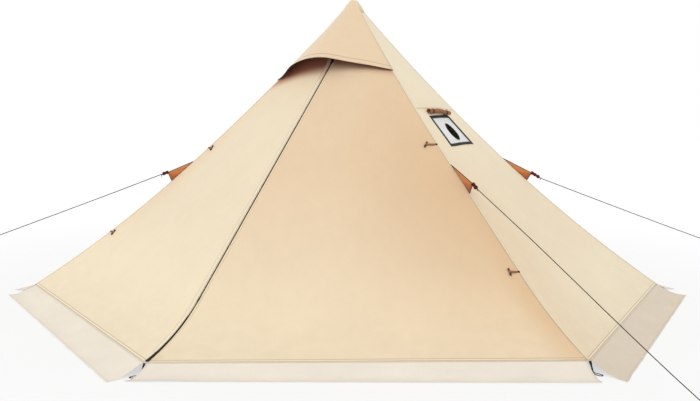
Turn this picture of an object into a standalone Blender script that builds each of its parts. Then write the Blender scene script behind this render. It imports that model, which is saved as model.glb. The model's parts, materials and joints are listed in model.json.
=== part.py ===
"""A six-sided pyramid tent with a centre pole, a two-leaf zipped front, a stove
jack and mud skirts, pitched and ready for use.

Metres, +Z up. The origin is on the ground under the peak. The front wall, with
the zip on its left ridge, faces -Y. Walls are named by where they face, and
ridges by the ground corner that they run to.
"""
import math
from collections import namedtuple

import bmesh
import bpy
from mathutils import Matrix, Vector

# Driving dimensions of the pitched tent
corner_radius = 2.3
peak_height = 2.12
hem_height = 0.06
cloth = 0.003
gap = 0.0003
wall_bulge = 0.02

# Ridges: azimuth in degrees, how far the ridge hangs under a straight line, and
# the shares of its length between which that depth is full
Ridge = namedtuple("Ridge", "azimuth hang full_from_share full_to_share")
ridges = {
    "right": Ridge(0, 0.098, 0.53, 0.53),
    "back_right": Ridge(60, 0.095, 0.55, 0.55),
    "back_left": Ridge(120, 0.095, 0.55, 0.55),
    "left": Ridge(180, 0.098, 0.58, 0.58),
    "front_left": Ridge(240, 0.125, 0.14, 0.84),
    "front_right": Ridge(300, 0.072, 0.50, 0.80),
}
walls = {
    "back_right": ("right", "back_right"),
    "back": ("back_right", "back_left"),
    "back_left": ("back_left", "left"),
    "left": ("left", "front_left"),
    "front": ("front_left", "front_right"),
    "right": ("front_right", "right"),
}

# Stations down a wall, as shares of the ridge from the peak to the ground corner
cap_share = 0.03
vent_top_share = 0.10
vent_wide_share = 0.135
prop_share = 0.171
door_top_share = 0.30
jack_top_share = 0.373
jack_bottom_share = 0.459
wall_stations_share = (
    cap_share, 0.065, vent_top_share, vent_wide_share, prop_share, 0.23, door_top_share,
    jack_top_share, 0.416, jack_bottom_share, 0.52, 0.60, 0.68, 0.74, 0.786, 0.84, 0.88, 0.92,
    0.96, 1.0,
)

# Columns across a wall, as shares of its width: the right wall's fit its window
even_columns_share = (0.0, 1 / 6, 1 / 3, 1 / 2, 2 / 3, 5 / 6, 1.0)
right_columns_share = (0.0, 0.10, 0.207, 0.34, 0.48, 0.598, 0.80, 1.0)

# Ridge tape, zip and vent
ridge_gap = 0.0008
leaf_cut_gap = 0.0009
cap_rim_gap = 0.0012
ridge_tape_half = 0.011
tape_side_gap = 0.0009
mesh_lap = 0.006
zip_gap_half = 0.0025
coil_width = 0.002
coil_half_thickness = 0.002
zip_half = 0.009
tape_half_thickness = 0.001
vent_reach = 0.050
flap_start = 0.007
flap_width = 0.040
flap_thickness = 0.0025
flap_clear = 0.0010
mesh_half_thickness = 0.001
mesh_clear = 0.0015

# Vent hood, held off the front left ridge by its prop
hood_top_share = 0.045
hood_left_share = 0.253
hood_right_share = 0.229
hood_lip_share = 0.2074
hood_lip_rise = 0.1308
hood_left_bow = 0.045
hood_clear = 0.0018
hood_rows = 6
hood_half_columns = 6
prop_width = 0.018
prop_thickness = 0.004
prop_pad_length = 0.045
prop_top_clear = 0.0035
prop_point = 0.009
pad_clear = 0.0002

# Zip slider and its pull
slider_length = 0.016
slider_half_width = 0.0055
slider_web_half = 0.001
slider_over = 0.0018
slider_under = 0.0042
slider_plate = 0.0015
pull_length = 0.038
pull_width = 0.0065
pull_thickness = 0.0018

# Mud skirts: how far each reaches out over the ground at its two ends, and how
# far its outer edge runs past the corner there
Skirt = namedtuple("Skirt", "reach_start reach_end past_start past_end")
skirts = {
    "back_right": Skirt(0.20, 0.20, 0.03, 0.03),
    "back": Skirt(0.20, 0.20, 0.03, 0.03),
    "back_left": Skirt(0.20, 0.20, 0.03, 0.03),
    "left": Skirt(0.185, 0.205, 0.03, 0.045),
    "front": Skirt(0.115, 0.185, 0.10, 0.025),
    "right": Skirt(0.205, 0.215, 0.10, -0.03),
}
skirt_inset = 0.0015
skirt_corner_clear = 0.018
skirt_split = 0.15
skirt_split_gap = 0.005
skirt_profile_shares = ((0.0, 1.0), (0.3, 0.55), (0.55, 0.16), (0.72, 0.0), (1.0, 0.0))
skirt_columns = 5

# Corner loops, which lie on the ground between the skirts. A turn, in degrees,
# keeps a loop clear of a skirt that runs across its corner
loop_turns = {"front_left": -17}
loop_thickness = 0.0025
loop_drop = 0.0012
loop_tail = 0.020
loop_foot = 0.020
loop_length = 0.090
loop_neck_half = 0.0055
loop_half = 0.014
loop_band = 0.007

# Stove jack in the right wall
jack_left_share = right_columns_share[2]
jack_right_share = right_columns_share[5]
jack_binding = 0.022
jack_sheet_half_thickness = 0.001
binding_thickness = 0.0025
binding_clear = 0.0009
jack_hole_width = 0.100
jack_hole_length = 0.140
jack_hole_across_share = 0.50
jack_hole_down_share = 0.56
jack_hole_points = 24
roll_radius = 0.017
roll_above = 0.0010
roll_overhang = 0.012
roll_sides = 16

# Guy-out tabs: where each one's foot starts and ends on its ridge, and where its
# tip stands along that foot
Tab = namedtuple("Tab", "top_share bottom_share tip_share")
tabs = {
    "right": Tab(0.510, 0.588, 0.94),
    "back_right": Tab(0.512, 0.590, 0.88),
    "back_left": Tab(0.512, 0.590, 0.88),
    "left": Tab(0.527, 0.596, 0.88),
    "front_right": Tab(0.512, 0.591, 0.90),
}
tab_foot_points = 4
tab_reach = 0.062
tab_tip_half = 0.006
tab_thickness = 0.003
line_diameter = 0.005
line_points = 60
end_loop_length = 0.080
end_loop_width = 0.030
end_loop_neck_share = 0.55
end_loop_points = 20
rope_sides = 6

# Toggles that tie the opened leaves back to their ridges
toggle_length = 0.050
toggle_radius = 0.0045
toggle_waist_radius = 0.0032
toggle_waist_share = 0.0625
toggle_shoulder_share = 0.125
toggle_soft = 0.0018
toggle_clear = 0.0006
toggle_sides = 12
toggle_out = 0.075
toggle_loop_width = 0.010
toggle_loop_thickness = 0.002
toggle_shares = {
    "front": (("upper", 0.454), ("lower", 0.789)),
    "left": (("upper", 0.480), ("lower", 0.783)),
}

# Centre pole: upper and lower tubes, lever clamp, foot and tip
upper_tube_radius = 0.016
tube_wall = 0.0015
slide_clear = 0.0005
lower_tube_radius = upper_tube_radius - tube_wall - slide_clear
upper_tube_bottom = 1.02
lower_tube_top = 1.27
tube_sides = 28
foot_side = 0.007
foot_radius = lower_tube_radius + foot_side
foot_height = 0.032
foot_floor = 0.008
tip_length = 0.020
tip_flange = 0.004
cup_thickness = 0.003
cup_depth = 0.030
cap_flat_radius = 0.030
clamp_wall = 0.0055
clamp_radius = upper_tube_radius + clamp_wall
clamp_height = 0.048
ear_thickness = 0.005
lever_width = 0.012
lever_length = 0.062
lever_thickness = 0.006
lever_eye_radius = 0.0065
pin_radius = 0.0022
pin_overhang = 0.0015
pin_sides = 16
eye_points = 12
foot_lip = 0.0016

probe_share = 0.0005
up = Vector((0, 0, 1))

# Half the turn of the ground outline at a corner, the most that two walls fold by
half_fold = math.pi / len(walls)
apothem = corner_radius * math.cos(half_fold)
wall_drop = peak_height - hem_height
ridge_length = math.hypot(corner_radius, wall_drop)
ridge_clear = cloth / 2 * math.tan(half_fold) + ridge_gap
hood_raise = cloth / math.cos(half_fold) + hood_clear


def clear_objects():
    for item in list(bpy.data.objects):
        bpy.data.objects.remove(item, do_unlink=True)


def finish(name, red, green, blue, roughness, metallic=0.0):
    material = bpy.data.materials.new(name)
    material.use_nodes = True
    shader = material.node_tree.nodes["Principled BSDF"]
    shader.inputs["Base Color"].default_value = (red, green, blue, 1)
    shader.inputs["Roughness"].default_value = roughness
    shader.inputs["Metallic"].default_value = metallic
    material.diffuse_color = (red, green, blue, 1)
    return material


def add(name, bm, material, smooth_under=None):
    """Turn a bmesh into a named object."""
    bmesh.ops.recalc_face_normals(bm, faces=bm.faces[:])
    mesh = bpy.data.meshes.new(name)
    bm.to_mesh(mesh)
    bm.free()
    mesh.materials.append(material)
    if smooth_under is not None:
        mesh.shade_smooth()
        mesh.set_sharp_from_angle(angle=math.radians(smooth_under))
    item = bpy.data.objects.new(name, mesh)
    bpy.context.collection.objects.link(item)
    return item


# Cloth geometry
def outward(azimuth):
    angle = math.radians(azimuth)
    return Vector((math.cos(angle), math.sin(angle), 0))


def ridge_out(ridge_name):
    return outward(ridges[ridge_name].azimuth)


def ridge_point(ridge_name, share):
    """A point on a ridge: the straight line to the corner, hung in a little."""
    ridge = ridges[ridge_name]
    out = outward(ridge.azimuth)
    top = Vector((0, 0, peak_height))
    foot = out * corner_radius + up * hem_height
    inward = -(out * wall_drop + up * corner_radius).normalized()
    depth = 1.0
    if share < ridge.full_from_share:
        depth = 1 - ((ridge.full_from_share - share) / ridge.full_from_share) ** 2
    elif share > ridge.full_to_share:
        depth = 1 - ((share - ridge.full_to_share) / (1 - ridge.full_to_share)) ** 2
    return top.lerp(foot, share) + inward * (ridge.hang * depth)


def ridge_along(ridge_name, share):
    """Unit vector down the ridge."""
    ahead = ridge_point(ridge_name, share + probe_share)
    return (ahead - ridge_point(ridge_name, share - probe_share)).normalized()


def ridge_up(ridge_name, share):
    """Unit vector square to the ridge, out of the tent, in the ridge's plane."""
    along = ridge_along(ridge_name, share)
    out = ridge_out(ridge_name)
    return (out - along * out.dot(along)).normalized()


def wall_width(wall, share):
    left, right = walls[wall]
    return (ridge_point(right, share) - ridge_point(left, share)).length


def wall_azimuth(wall):
    left, right = walls[wall]
    turn = (ridges[right].azimuth - ridges[left].azimuth) % 360
    return ridges[left].azimuth + turn / 2


def columns_of(wall):
    return right_columns_share if wall == "right" else even_columns_share


def bulge_across(wall, across):
    """How full the wall's bulge is across its width, straight between the columns."""
    pairs = list(zip(columns_of(wall), columns_of(wall)[1:]))
    low, high = next((pair for pair in pairs if across < pair[1]), pairs[-1])
    part = (across - low) / (high - low)
    return math.sin(math.pi * low) ** 2 * (1 - part) + math.sin(math.pi * high) ** 2 * part


def wall_point(wall, share, across):
    """A point of a wall's middle surface: share down, across from left to right."""
    left, right = walls[wall]
    flat = ridge_point(left, share).lerp(ridge_point(right, share), across)
    rise = bulge_across(wall, across) * math.sin(math.pi * share) ** 2
    lean = outward(wall_azimuth(wall)) * wall_drop
    return flat + (lean + up * apothem).normalized() * (wall_bulge * rise)


def wall_normal(wall, share, across):
    down = wall_point(wall, share + probe_share, across)
    down = down - wall_point(wall, share - probe_share, across)
    side = wall_point(wall, share, across + probe_share)
    side = side - wall_point(wall, share, across - probe_share)
    return down.cross(side).normalized()


def wall_from_left(wall, share, distance):
    """Across share of a point that lies distance in from the wall's left ridge."""
    return distance / wall_width(wall, share)


def wall_from_right(wall, share, distance):
    return 1 - distance / wall_width(wall, share)


def stations(start, end, cut_start=False, cut_end=False):
    """The common wall stations from start to end, less half the gap at each cut."""
    rows = [share for share in wall_stations_share if start <= share <= end]
    if cut_start:
        rows[0] += leaf_cut_gap / 2 / ridge_length
    if cut_end:
        rows[-1] -= leaf_cut_gap / 2 / ridge_length
    return rows


def slab(name, middle, normals, halves, material, left_out=(), smooth_under=40, lift=0.0):
    """A sheet of cloth from a grid of points.

    halves gives half the thickness: one value, or one for each column. Cells in
    left_out are holes.
    """
    rows, columns = len(middle), len(middle[0])
    if not hasattr(halves, "__len__"):
        halves = [halves] * columns
    bm = bmesh.new()
    sides = []
    for sign in (1, -1):
        side = []
        for row, row_normals in zip(middle, normals):
            made = []
            for point, normal, half in zip(row, row_normals, halves):
                made.append(bm.verts.new(point + normal * (lift + sign * half)))
            side.append(made)
        sides.append(side)
    kept = [(r, c) for r in range(rows - 1) for c in range(columns - 1) if (r, c) not in left_out]
    edges = {}
    for r, c in kept:
        ring = [(r, c), (r, c + 1), (r + 1, c + 1), (r + 1, c)]
        for index, corner in enumerate(ring):
            edges[(corner, ring[(index + 1) % 4])] = True
        for side in sides:
            corners = [side[i][j] for i, j in ring]
            bm.faces.new((corners[0], corners[1], corners[2]))
            bm.faces.new((corners[0], corners[2], corners[3]))
    over, under = sides
    for first, second in edges:
        if (second, first) in edges:
            continue
        a, b = over[first[0]][first[1]], over[second[0]][second[1]]
        c, d = under[second[0]][second[1]], under[first[0]][first[1]]
        bm.faces.new((a, b, c))
        bm.faces.new((a, c, d))
    loose = [vert for vert in bm.verts if not vert.link_faces]
    bmesh.ops.delete(bm, geom=loose, context="VERTS")
    return add(name, bm, material, smooth_under)


def wall_sheet(name, wall, rows, left_edge, right_edge, material, left_out=()):
    """Part of a wall between two edges, each a function of the station."""
    middle, normals = [], []
    for share in rows:
        columns = list(columns_of(wall))
        columns[0], columns[-1] = left_edge(share), right_edge(share)
        inset = max(columns[0], 1 - columns[-1])
        if inset > min(columns[1], 1 - columns[-2]) / 2:
            span = columns[-1] - columns[0]
            columns = [columns[0] + span * column for column in columns_of(wall)]
        middle.append([wall_point(wall, share, a) for a in columns])
        normals.append([wall_normal(wall, share, a) for a in columns])
    return slab(name, middle, normals, cloth / 2, material, left_out=left_out)


def wing(wall, share, distance, from_left):
    """Point and normal of a wall at a distance from its left or right ridge."""
    finder = wall_from_left if from_left else wall_from_right
    across = finder(wall, share, distance)
    return wall_point(wall, share, across), wall_normal(wall, share, across)


def ridge_strip(name, ridge_name, rows, half_width, half_thickness, material, lift=0.0):
    """A strip folded over a ridge, with a wing on each of the two walls."""
    left_wall = next(wall for wall, ends in walls.items() if ends[1] == ridge_name)
    right_wall = next(wall for wall, ends in walls.items() if ends[0] == ridge_name)
    middle, normals = [], []
    for share in rows:
        first, first_normal = wing(left_wall, share, half_width(share), False)
        last, last_normal = wing(right_wall, share, half_width(share), True)
        crest = (first_normal + last_normal).normalized()
        crest = crest / crest.dot(first_normal)
        middle.append([first, ridge_point(ridge_name, share), last])
        normals.append([first_normal, crest, last_normal])
    return slab(name, middle, normals, half_thickness, material, lift=lift)


def side_strip(name, wall, rows, distances, halves, from_left, material, lift=0.0):
    """A strip on one wall that runs along one of its ridges."""
    order = distances if from_left else distances[::-1]
    sizes = halves
    if hasattr(halves, "__len__"):
        sizes = halves if from_left else halves[::-1]
    middle, normals = [], []
    for share in rows:
        pairs = [wing(wall, share, distance, from_left) for distance in order]
        middle.append([point for point, normal in pairs])
        normals.append([normal for point, normal in pairs])
    return slab(name, middle, normals, sizes, material, lift=lift)


# Solid helpers
def turned(name, profile, centre, axis, material, sides=tube_sides, smooth_under=40):
    """Turn a closed outline of (radius, height) round an axis."""
    bm = bmesh.new()
    frame = axis.to_track_quat("Z", "Y").to_matrix()
    rings = []
    for radius, height in profile:
        ring = []
        for i in range(sides if radius else 1):
            angle = 2 * math.pi * i / sides
            local = Vector((radius * math.cos(angle), radius * math.sin(angle), height))
            ring.append(bm.verts.new(centre + frame @ local))
        rings.append(ring)
    pairs = list(zip(rings, rings[1:] + rings[:1]))
    for first, second in pairs:
        for i in range(sides):
            j = (i + 1) % sides
            if len(first) == 1 and len(second) == 1:
                continue
            if len(first) == 1:
                bm.faces.new((first[0], second[i], second[j]))
            elif len(second) == 1:
                bm.faces.new((first[i], first[j], second[0]))
            else:
                bm.faces.new((first[i], first[j], second[j], second[i]))
    return add(name, bm, material, smooth_under)


def prism(name, outline, base, x_axis, y_axis, depth, material):
    """Extrude a flat outline, drawn along two unit vectors, by a depth vector."""
    bm = bmesh.new()
    low = [bm.verts.new(base + x_axis * x + y_axis * y) for x, y in outline]
    high = [bm.verts.new(vert.co + depth) for vert in low]
    bm.faces.new(low)
    bm.faces.new(high[::-1])
    join_rings(bm, [low, high])
    return add(name, bm, material)


def join_rings(bm, rings):
    """Skin between each ring of vertices and the next."""
    for first, second in zip(rings, rings[1:]):
        for i in range(len(first)):
            j = (i + 1) % len(first)
            bm.faces.new((first[i], first[j], second[j], second[i]))


def combine(item, tool, operation):
    """Add a hidden solid to an object, or cut it away."""
    tool.hide_render = True
    tool.display_type = "WIRE"
    step = item.modifiers.new(operation.lower(), "BOOLEAN")
    step.operation = operation
    step.solver = "EXACT"
    step.object = tool


def ring_plate(name, outer, inner, depth, material):
    """A plate between two loops with the same number of points."""
    bm = bmesh.new()
    rings = []
    for points, raised in ((outer, False), (outer, True), (inner, True), (inner, False), (outer, False)):
        if len(rings) == 4:
            rings.append(rings[0])
        else:
            rings.append([bm.verts.new(point + depth if raised else point) for point in points])
    join_rings(bm, rings)
    bmesh.ops.triangulate(bm, faces=bm.faces[:])
    return add(name, bm, material)


def arc(radius, first_turn, last_turn):
    """Points on a circle between two shares of a turn."""
    points = []
    for i in range(eye_points + 1):
        angle = 2 * math.pi * (first_turn + (last_turn - first_turn) * i / eye_points)
        points.append((radius * math.cos(angle), radius * math.sin(angle)))
    return points


# Walls and vent
def zip_edge(share):
    return zip_half + gap


def vent_edge(share):
    """Where a top wall starts beside the ridge tape, past the vent's opening."""
    wide = 1 - abs(share - vent_wide_share) / (vent_wide_share - vent_top_share)
    return ridge_tape_half + tape_side_gap + max(0.0, wide) * vent_reach


def make_walls(canvas, net):
    full = stations(cap_share, 1.0)
    top = stations(cap_share, door_top_share, cut_end=True)
    leaf = stations(door_top_share, 1.0, cut_start=True)

    def left_of(wall, edge=None):
        return lambda share: wall_from_left(wall, share, edge(share) if edge else ridge_clear)

    def right_of(wall, edge=None):
        return lambda share: wall_from_right(wall, share, edge(share) if edge else ridge_clear)

    for wall in ("back_right", "back", "back_left"):
        wall_sheet("wall_" + wall, wall, full, left_of(wall), right_of(wall), canvas)
    window = {
        (r, c)
        for r in range(full.index(jack_top_share), full.index(jack_bottom_share))
        for c in range(2, 5)
    }
    wall_sheet("wall_right", "right", full, left_of("right"), right_of("right"), canvas, window)
    wall_sheet("wall_front_top", "front", top, left_of("front", vent_edge), right_of("front"), canvas)
    wall_sheet("wall_left_top", "left", top, left_of("left"), right_of("left", vent_edge), canvas)
    wall_sheet("door_leaf_front", "front", leaf, left_of("front", zip_edge), right_of("front"), canvas)
    wall_sheet("door_leaf_left", "left", leaf, left_of("left"), right_of("left", zip_edge), canvas)
    ridge_strip(
        "ridge_tape_front_left", "front_left", top, lambda share: ridge_tape_half, cloth / 2, canvas
    )
    ridge_strip(
        "vent_mesh", "front_left", stations(vent_top_share, prop_share),
        lambda share: vent_edge(share) + mesh_lap, mesh_half_thickness, net,
        lift=-(cloth / 2 + mesh_clear + mesh_half_thickness),
    )


def make_cap(canvas):
    """The flat-topped patch that closes the peak."""
    bm = bmesh.new()
    names = list(ridges)
    rim_share = cap_share - cap_rim_gap / ridge_length
    flat = cloth / 2
    layers = []
    for sign in (1, -1):
        rim, edge = [], []
        for ridge_name in names:
            normal = ridge_up(ridge_name, rim_share)
            lift = normal * (sign * flat / math.cos(half_fold))
            rim.append(bm.verts.new(ridge_point(ridge_name, rim_share) + lift))
            centre = Vector((0, 0, peak_height - flat))
            narrow = cap_flat_radius - (0 if sign > 0 else flat)
            edge.append(bm.verts.new(centre + ridge_out(ridge_name) * narrow + up * (sign * flat)))
        middle = bm.verts.new(Vector((0, 0, peak_height - flat + sign * flat)))
        layers.append((rim, edge, middle))
    count = len(names)
    for rim, edge, middle in layers:
        for i in range(count):
            j = (i + 1) % count
            bm.faces.new((rim[i], rim[j], edge[j]))
            bm.faces.new((rim[i], edge[j], edge[i]))
            bm.faces.new((edge[i], edge[j], middle))
    for i in range(count):
        j = (i + 1) % count
        over, under = layers[0][0], layers[1][0]
        bm.faces.new((over[i], over[j], under[j]))
        bm.faces.new((over[i], under[j], under[i]))
    add("peak_cap", bm, canvas)


def hood_crest(down):
    """A point of the hood's crest, over the front left ridge: 0 at its top, 1 at its lip."""
    top = ridge_point("front_left", hood_top_share)
    top = top + ridge_up("front_left", hood_top_share) * 2 * hood_raise
    lip = ridge_point("front_left", hood_lip_share)
    lip = lip + ridge_up("front_left", hood_lip_share) * hood_lip_rise
    return top.lerp(lip, down)


def make_hood(canvas):
    """The vent hood: sewn to two ridges and arched over the one between them."""
    middle = []
    for row in range(hood_rows + 1):
        down = row / hood_rows
        left_share = hood_top_share + (hood_left_share - hood_top_share) * down
        right_share = hood_top_share + (hood_right_share - hood_top_share) * down
        left = ridge_point("left", left_share) + ridge_up("left", left_share) * hood_raise
        right = ridge_point("front_right", right_share)
        right = right + ridge_up("front_right", right_share) * hood_raise
        crest = hood_crest(down)
        points = []
        for column in range(hood_half_columns):
            across = column / hood_half_columns
            bow = 4 * across * (1 - across) * hood_left_bow * down
            lean = (ridge_up("left", left_share) + ridge_up("front_left", left_share)).normalized()
            points.append(left.lerp(crest, across) + lean * bow)
        for column in range(hood_half_columns + 1):
            points.append(crest.lerp(right, column / hood_half_columns))
        middle.append(points)
    normals = grid_normals(middle)
    slab("vent_hood", middle, normals, cloth / 2, canvas)


def grid_normals(middle):
    """Normals of a grid of points, facing away from the tent's axis."""
    rows, columns = len(middle), len(middle[0])
    normals = []
    for r in range(rows):
        line = []
        for c in range(columns):
            down = middle[min(r + 1, rows - 1)][c] - middle[max(r - 1, 0)][c]
            side = middle[r][min(c + 1, columns - 1)] - middle[r][max(c - 1, 0)]
            line.append(down.cross(side).normalized())
        normals.append(line)
    return normals


def prop_pivot():
    """Foot of the prop, in the middle of its pad on the front left ridge."""
    start = cloth / 2 / math.cos(half_fold) + pad_clear
    lift = start + prop_thickness + gap
    return ridge_point("front_left", prop_share) + ridge_up("front_left", prop_share) * lift


def make_vent_prop(webbing):
    """A stiff webbing strut that holds the hood's lip off the ridge.

    Its foot is round about the pivot, so that it can lie down on its pad.
    """
    square = ridge_up("front_left", prop_share)
    along = ridge_along("front_left", prop_share)
    side = square.cross(along)
    foot = prop_pivot()
    half, thick = prop_width / 2, prop_thickness / 2
    top, lip = hood_crest(0) - foot, hood_crest(1) - foot
    down = (-thick - top.dot(along)) / (lip - top).dot(along)
    high = top.lerp(lip, down).dot(square) - prop_top_clear
    bm = bmesh.new()
    rings = []
    for across, height in ((-half, high - prop_point), (0, high), (half, high - prop_point)):
        outline = arc(thick, 1 / 2, 1) + [(thick, height), (-thick, height)]
        rings.append([bm.verts.new(foot + side * across + along * x + square * y) for x, y in outline])
    join_rings(bm, rings)
    bm.faces.new(rings[0])
    bm.faces.new(rings[-1])
    add("vent_prop", bm, webbing)
    low, seat = -2 * thick - gap, -thick - gap
    outline = [(-half, low), (half, low), (half, seat), (-half, seat)]
    prism(
        "vent_prop_pad", outline, foot - along * (prop_pad_length / 2), side, square,
        along * prop_pad_length, webbing,
    )


# Zip, storm flap and slider
def make_zip(zip_black, canvas):
    rows = stations(door_top_share, 1.0, cut_start=True)
    distances = (zip_gap_half, zip_gap_half + coil_width, zip_gap_half + coil_width + gap, zip_half)
    halves = (coil_half_thickness, coil_half_thickness, tape_half_thickness, tape_half_thickness)
    side_strip("zip_tape_front", "front", rows, distances, halves, True, zip_black)
    side_strip("zip_tape_left", "left", rows, distances, halves, False, zip_black)
    lift = cloth / 2 + flap_clear + flap_thickness / 2
    across = (flap_start, flap_start + flap_width / 2, flap_start + flap_width)
    side_strip("storm_flap", "left", rows, across, flap_thickness / 2, False, canvas, lift=lift)


def slider_frame():
    """Where the slider starts, with unit vectors up the zip, to its side and out."""
    low_share = ridges["front_left"].full_to_share
    along = -ridge_along("front_left", low_share - probe_share * 4)
    square = ridge_up("front_left", low_share - probe_share * 4)
    base = ridge_point("front_left", low_share) + along * slider_length
    return base, along, along.cross(square), square


def pull_pivot():
    """Middle of the pull's top edge, where it hangs on the slider."""
    base, along, side, square = slider_frame()
    low = slider_over + slider_plate + gap
    middle = side * (pull_width / 2 - slider_web_half) + square * (low + pull_thickness / 2)
    return base + along * (slider_length - pull_thickness) + middle


def make_slider(zip_black):
    """The zip's slider, at the lower end of the straight run of the zip.

    It wraps the coil of the front leaf alone, so that either leaf can open.
    """
    base, along, side, square = slider_frame()
    top = slider_over + slider_plate
    bottom = -slider_under - slider_plate
    wide, web = slider_half_width, slider_web_half
    outline = [
        (wide, slider_over), (web, slider_over), (web, -slider_under), (wide, -slider_under),
        (wide, bottom), (-web, bottom), (-web, top), (wide, top),
    ]
    prism("zip_slider", outline, base, side, square, along * slider_length, zip_black)
    half_width, half = pull_width / 2, pull_thickness / 2
    outline = [(-half_width, -half), (half_width, -half), (half_width, half), (-half_width, half)]
    prism("zip_pull", outline, pull_pivot(), side, square, -along * pull_length, zip_black)


# Skirts and ground loops
def skirt_sheet(name, wall, start, end, material):
    """Part of a mud skirt, from one distance along the hem to another."""
    left, right = walls[wall]
    size = skirts[wall]
    first, last = ridge_point(left, 1.0), ridge_point(right, 1.0)
    length = (last - first).length
    along = (last - first).normalized()
    out = outward(wall_azimuth(wall))
    middle = []
    for column in range(skirt_columns + 1):
        place = start + (end - start) * column / skirt_columns
        share = place / length
        reach = size.reach_start + (size.reach_end - size.reach_start) * share
        slip = 0.0
        if column == 0 and start < skirt_split:
            slip = -size.past_start
        if column == skirt_columns and end > length - skirt_split:
            slip = size.past_end
        points = []
        for out_share, height_share in skirt_profile_shares:
            away = skirt_inset + (reach - skirt_inset) * out_share
            height = cloth / 2 + (hem_height - cloth / 2) * height_share
            point = first + along * (place + slip * out_share) + out * away
            points.append(Vector((point.x, point.y, height)))
        middle.append(points)
    middle = [list(line) for line in zip(*middle)]
    normals = [[up.copy() for point in line] for line in middle]
    return slab(name, middle, normals, cloth / 2, material)


def make_skirts(skirt_cloth):
    """A skirt along each hem. Past a leaf's hinge line a short end stays put."""
    for wall, ends in walls.items():
        length = (ridge_point(ends[1], 1.0) - ridge_point(ends[0], 1.0)).length
        low, high = skirt_corner_clear, length - skirt_corner_clear
        if wall == "front":
            cut = length - skirt_split
            skirt_sheet("skirt_front_hinge_end", wall, cut + skirt_split_gap / 2, high, skirt_cloth)
            high = cut - skirt_split_gap / 2
        elif wall == "left":
            skirt_sheet("skirt_left_hinge_end", wall, low, skirt_split - skirt_split_gap / 2, skirt_cloth)
            low = skirt_split + skirt_split_gap / 2
        skirt_sheet("skirt_" + wall, wall, low, high, skirt_cloth)


def make_corner_loops(webbing):
    seat = loop_thickness / 2
    inner = loop_half - loop_band
    # Distance from the corner, height, half width and half of the hole
    stations_out = (
        (0, hem_height - loop_drop, loop_neck_half, loop_neck_half / 3),
        (loop_foot, loop_thickness, loop_neck_half, loop_neck_half / 3),
        (loop_foot + loop_tail / 2, seat, loop_neck_half, loop_neck_half / 3),
        (loop_foot + loop_tail, seat, loop_half, inner),
        (loop_length - loop_band, seat, loop_half, inner),
        (loop_length, seat, loop_half - loop_band / 2, inner),
    )
    for ridge_name, ridge in ridges.items():
        out = outward(ridge.azimuth + loop_turns.get(ridge_name, 0))
        side = up.cross(out)
        corner = ridge_out(ridge_name) * corner_radius
        middle = []
        for distance, height, half, hole_half in stations_out:
            point = corner + out * distance + up * height
            middle.append([point + side * offset for offset in (half, hole_half, -hole_half, -half)])
        slope = (middle[1][0] - middle[0][0]).normalized()
        normals = [[slope.cross(side)] * 4] * 2 + [[up] * 4] * (len(middle) - 2)
        slab(
            "corner_loop_" + ridge_name, middle, normals, loop_thickness / 2, webbing,
            left_out={(3, 1)},
        )


# Stove jack
def jack_place(across_share, down_share):
    across = jack_left_share + (jack_right_share - jack_left_share) * across_share
    share = jack_top_share + (jack_bottom_share - jack_top_share) * down_share
    return share, across


def jack_surface(across_share, down_share, lift):
    share, across = jack_place(across_share, down_share)
    return wall_point("right", share, across) + wall_normal("right", share, across) * lift


def jack_size():
    top = jack_surface(0, 0, 0)
    low_width = (jack_surface(1, 1, 0) - jack_surface(0, 1, 0)).length
    width = ((jack_surface(1, 0, 0) - top).length + low_width) / 2
    return width, (jack_surface(0, 1, 0) - top).length


def edge_points(low, high, count):
    """Points round a unit square shrunk to low..high, the same count on each side."""
    points = []
    span = high - low
    for step in range(count):
        points.append((low + span * step / count, low))
    for step in range(count):
        points.append((high, low + span * step / count))
    for step in range(count):
        points.append((high - span * step / count, high))
    for step in range(count):
        points.append((low, high - span * step / count))
    return points


def make_jack(heat_cloth, webbing, roll_cloth):
    width, length = jack_size()
    side_count = jack_hole_points // 4

    def square_loop(inset, lift):
        points = []
        for x, y in edge_points(0.0, 1.0, side_count):
            across = inset / width + x * (1 - 2 * inset / width)
            down = inset / length + y * (1 - 2 * inset / length)
            points.append(jack_surface(across, down, lift))
        return points

    def hole_loop(lift):
        points = []
        for x, y in edge_points(-1.0, 1.0, side_count):
            angle = math.atan2(y * length, x * width)
            across = jack_hole_across_share + math.cos(angle) * jack_hole_width / 2 / width
            down = jack_hole_down_share + math.sin(angle) * jack_hole_length / 2 / length
            points.append(jack_surface(across, down, lift))
        return points

    normal = wall_normal("right", *jack_place(0.5, 0.5))
    half = jack_sheet_half_thickness
    ring_plate(
        "jack_sheet", square_loop(gap * 2, -half), hole_loop(-half),
        normal * (2 * half), heat_cloth,
    )
    seat = cloth / 2 + binding_clear
    ring_plate(
        "jack_binding", square_loop(-jack_binding / 2, seat), square_loop(jack_binding / 2, seat),
        normal * binding_thickness, webbing,
    )
    make_jack_roll(roll_cloth)


def make_jack_roll(roll_cloth):
    """The rain flap of the stove jack, rolled up above it and bent along the wall."""
    lift = cloth / 2 + roll_radius + roll_above
    width, length = jack_size()
    above = -(jack_binding / 2 + roll_radius + gap * 4) / length
    places = [-roll_overhang / width]
    for column in right_columns_share[3:5]:
        places.append((column - jack_left_share) / (jack_right_share - jack_left_share))
    places.append(1 + roll_overhang / width)
    centres = [jack_surface(place, above, lift) for place in places]
    axis = (centres[-1] - centres[0]).normalized()
    square = wall_normal("right", *jack_place(0.5, above))
    across = square.cross(axis).normalized()
    bm = bmesh.new()
    rings = []
    for centre in centres:
        ring = []
        for i in range(roll_sides):
            angle = 2 * math.pi * i / roll_sides
            away = across * math.cos(angle) + square * math.sin(angle)
            ring.append(bm.verts.new(centre + away * roll_radius))
        rings.append(ring)
    join_rings(bm, rings)
    bm.faces.new(rings[0])
    bm.faces.new(rings[-1])
    add("jack_flap_roll", bm, roll_cloth, 40)


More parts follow.
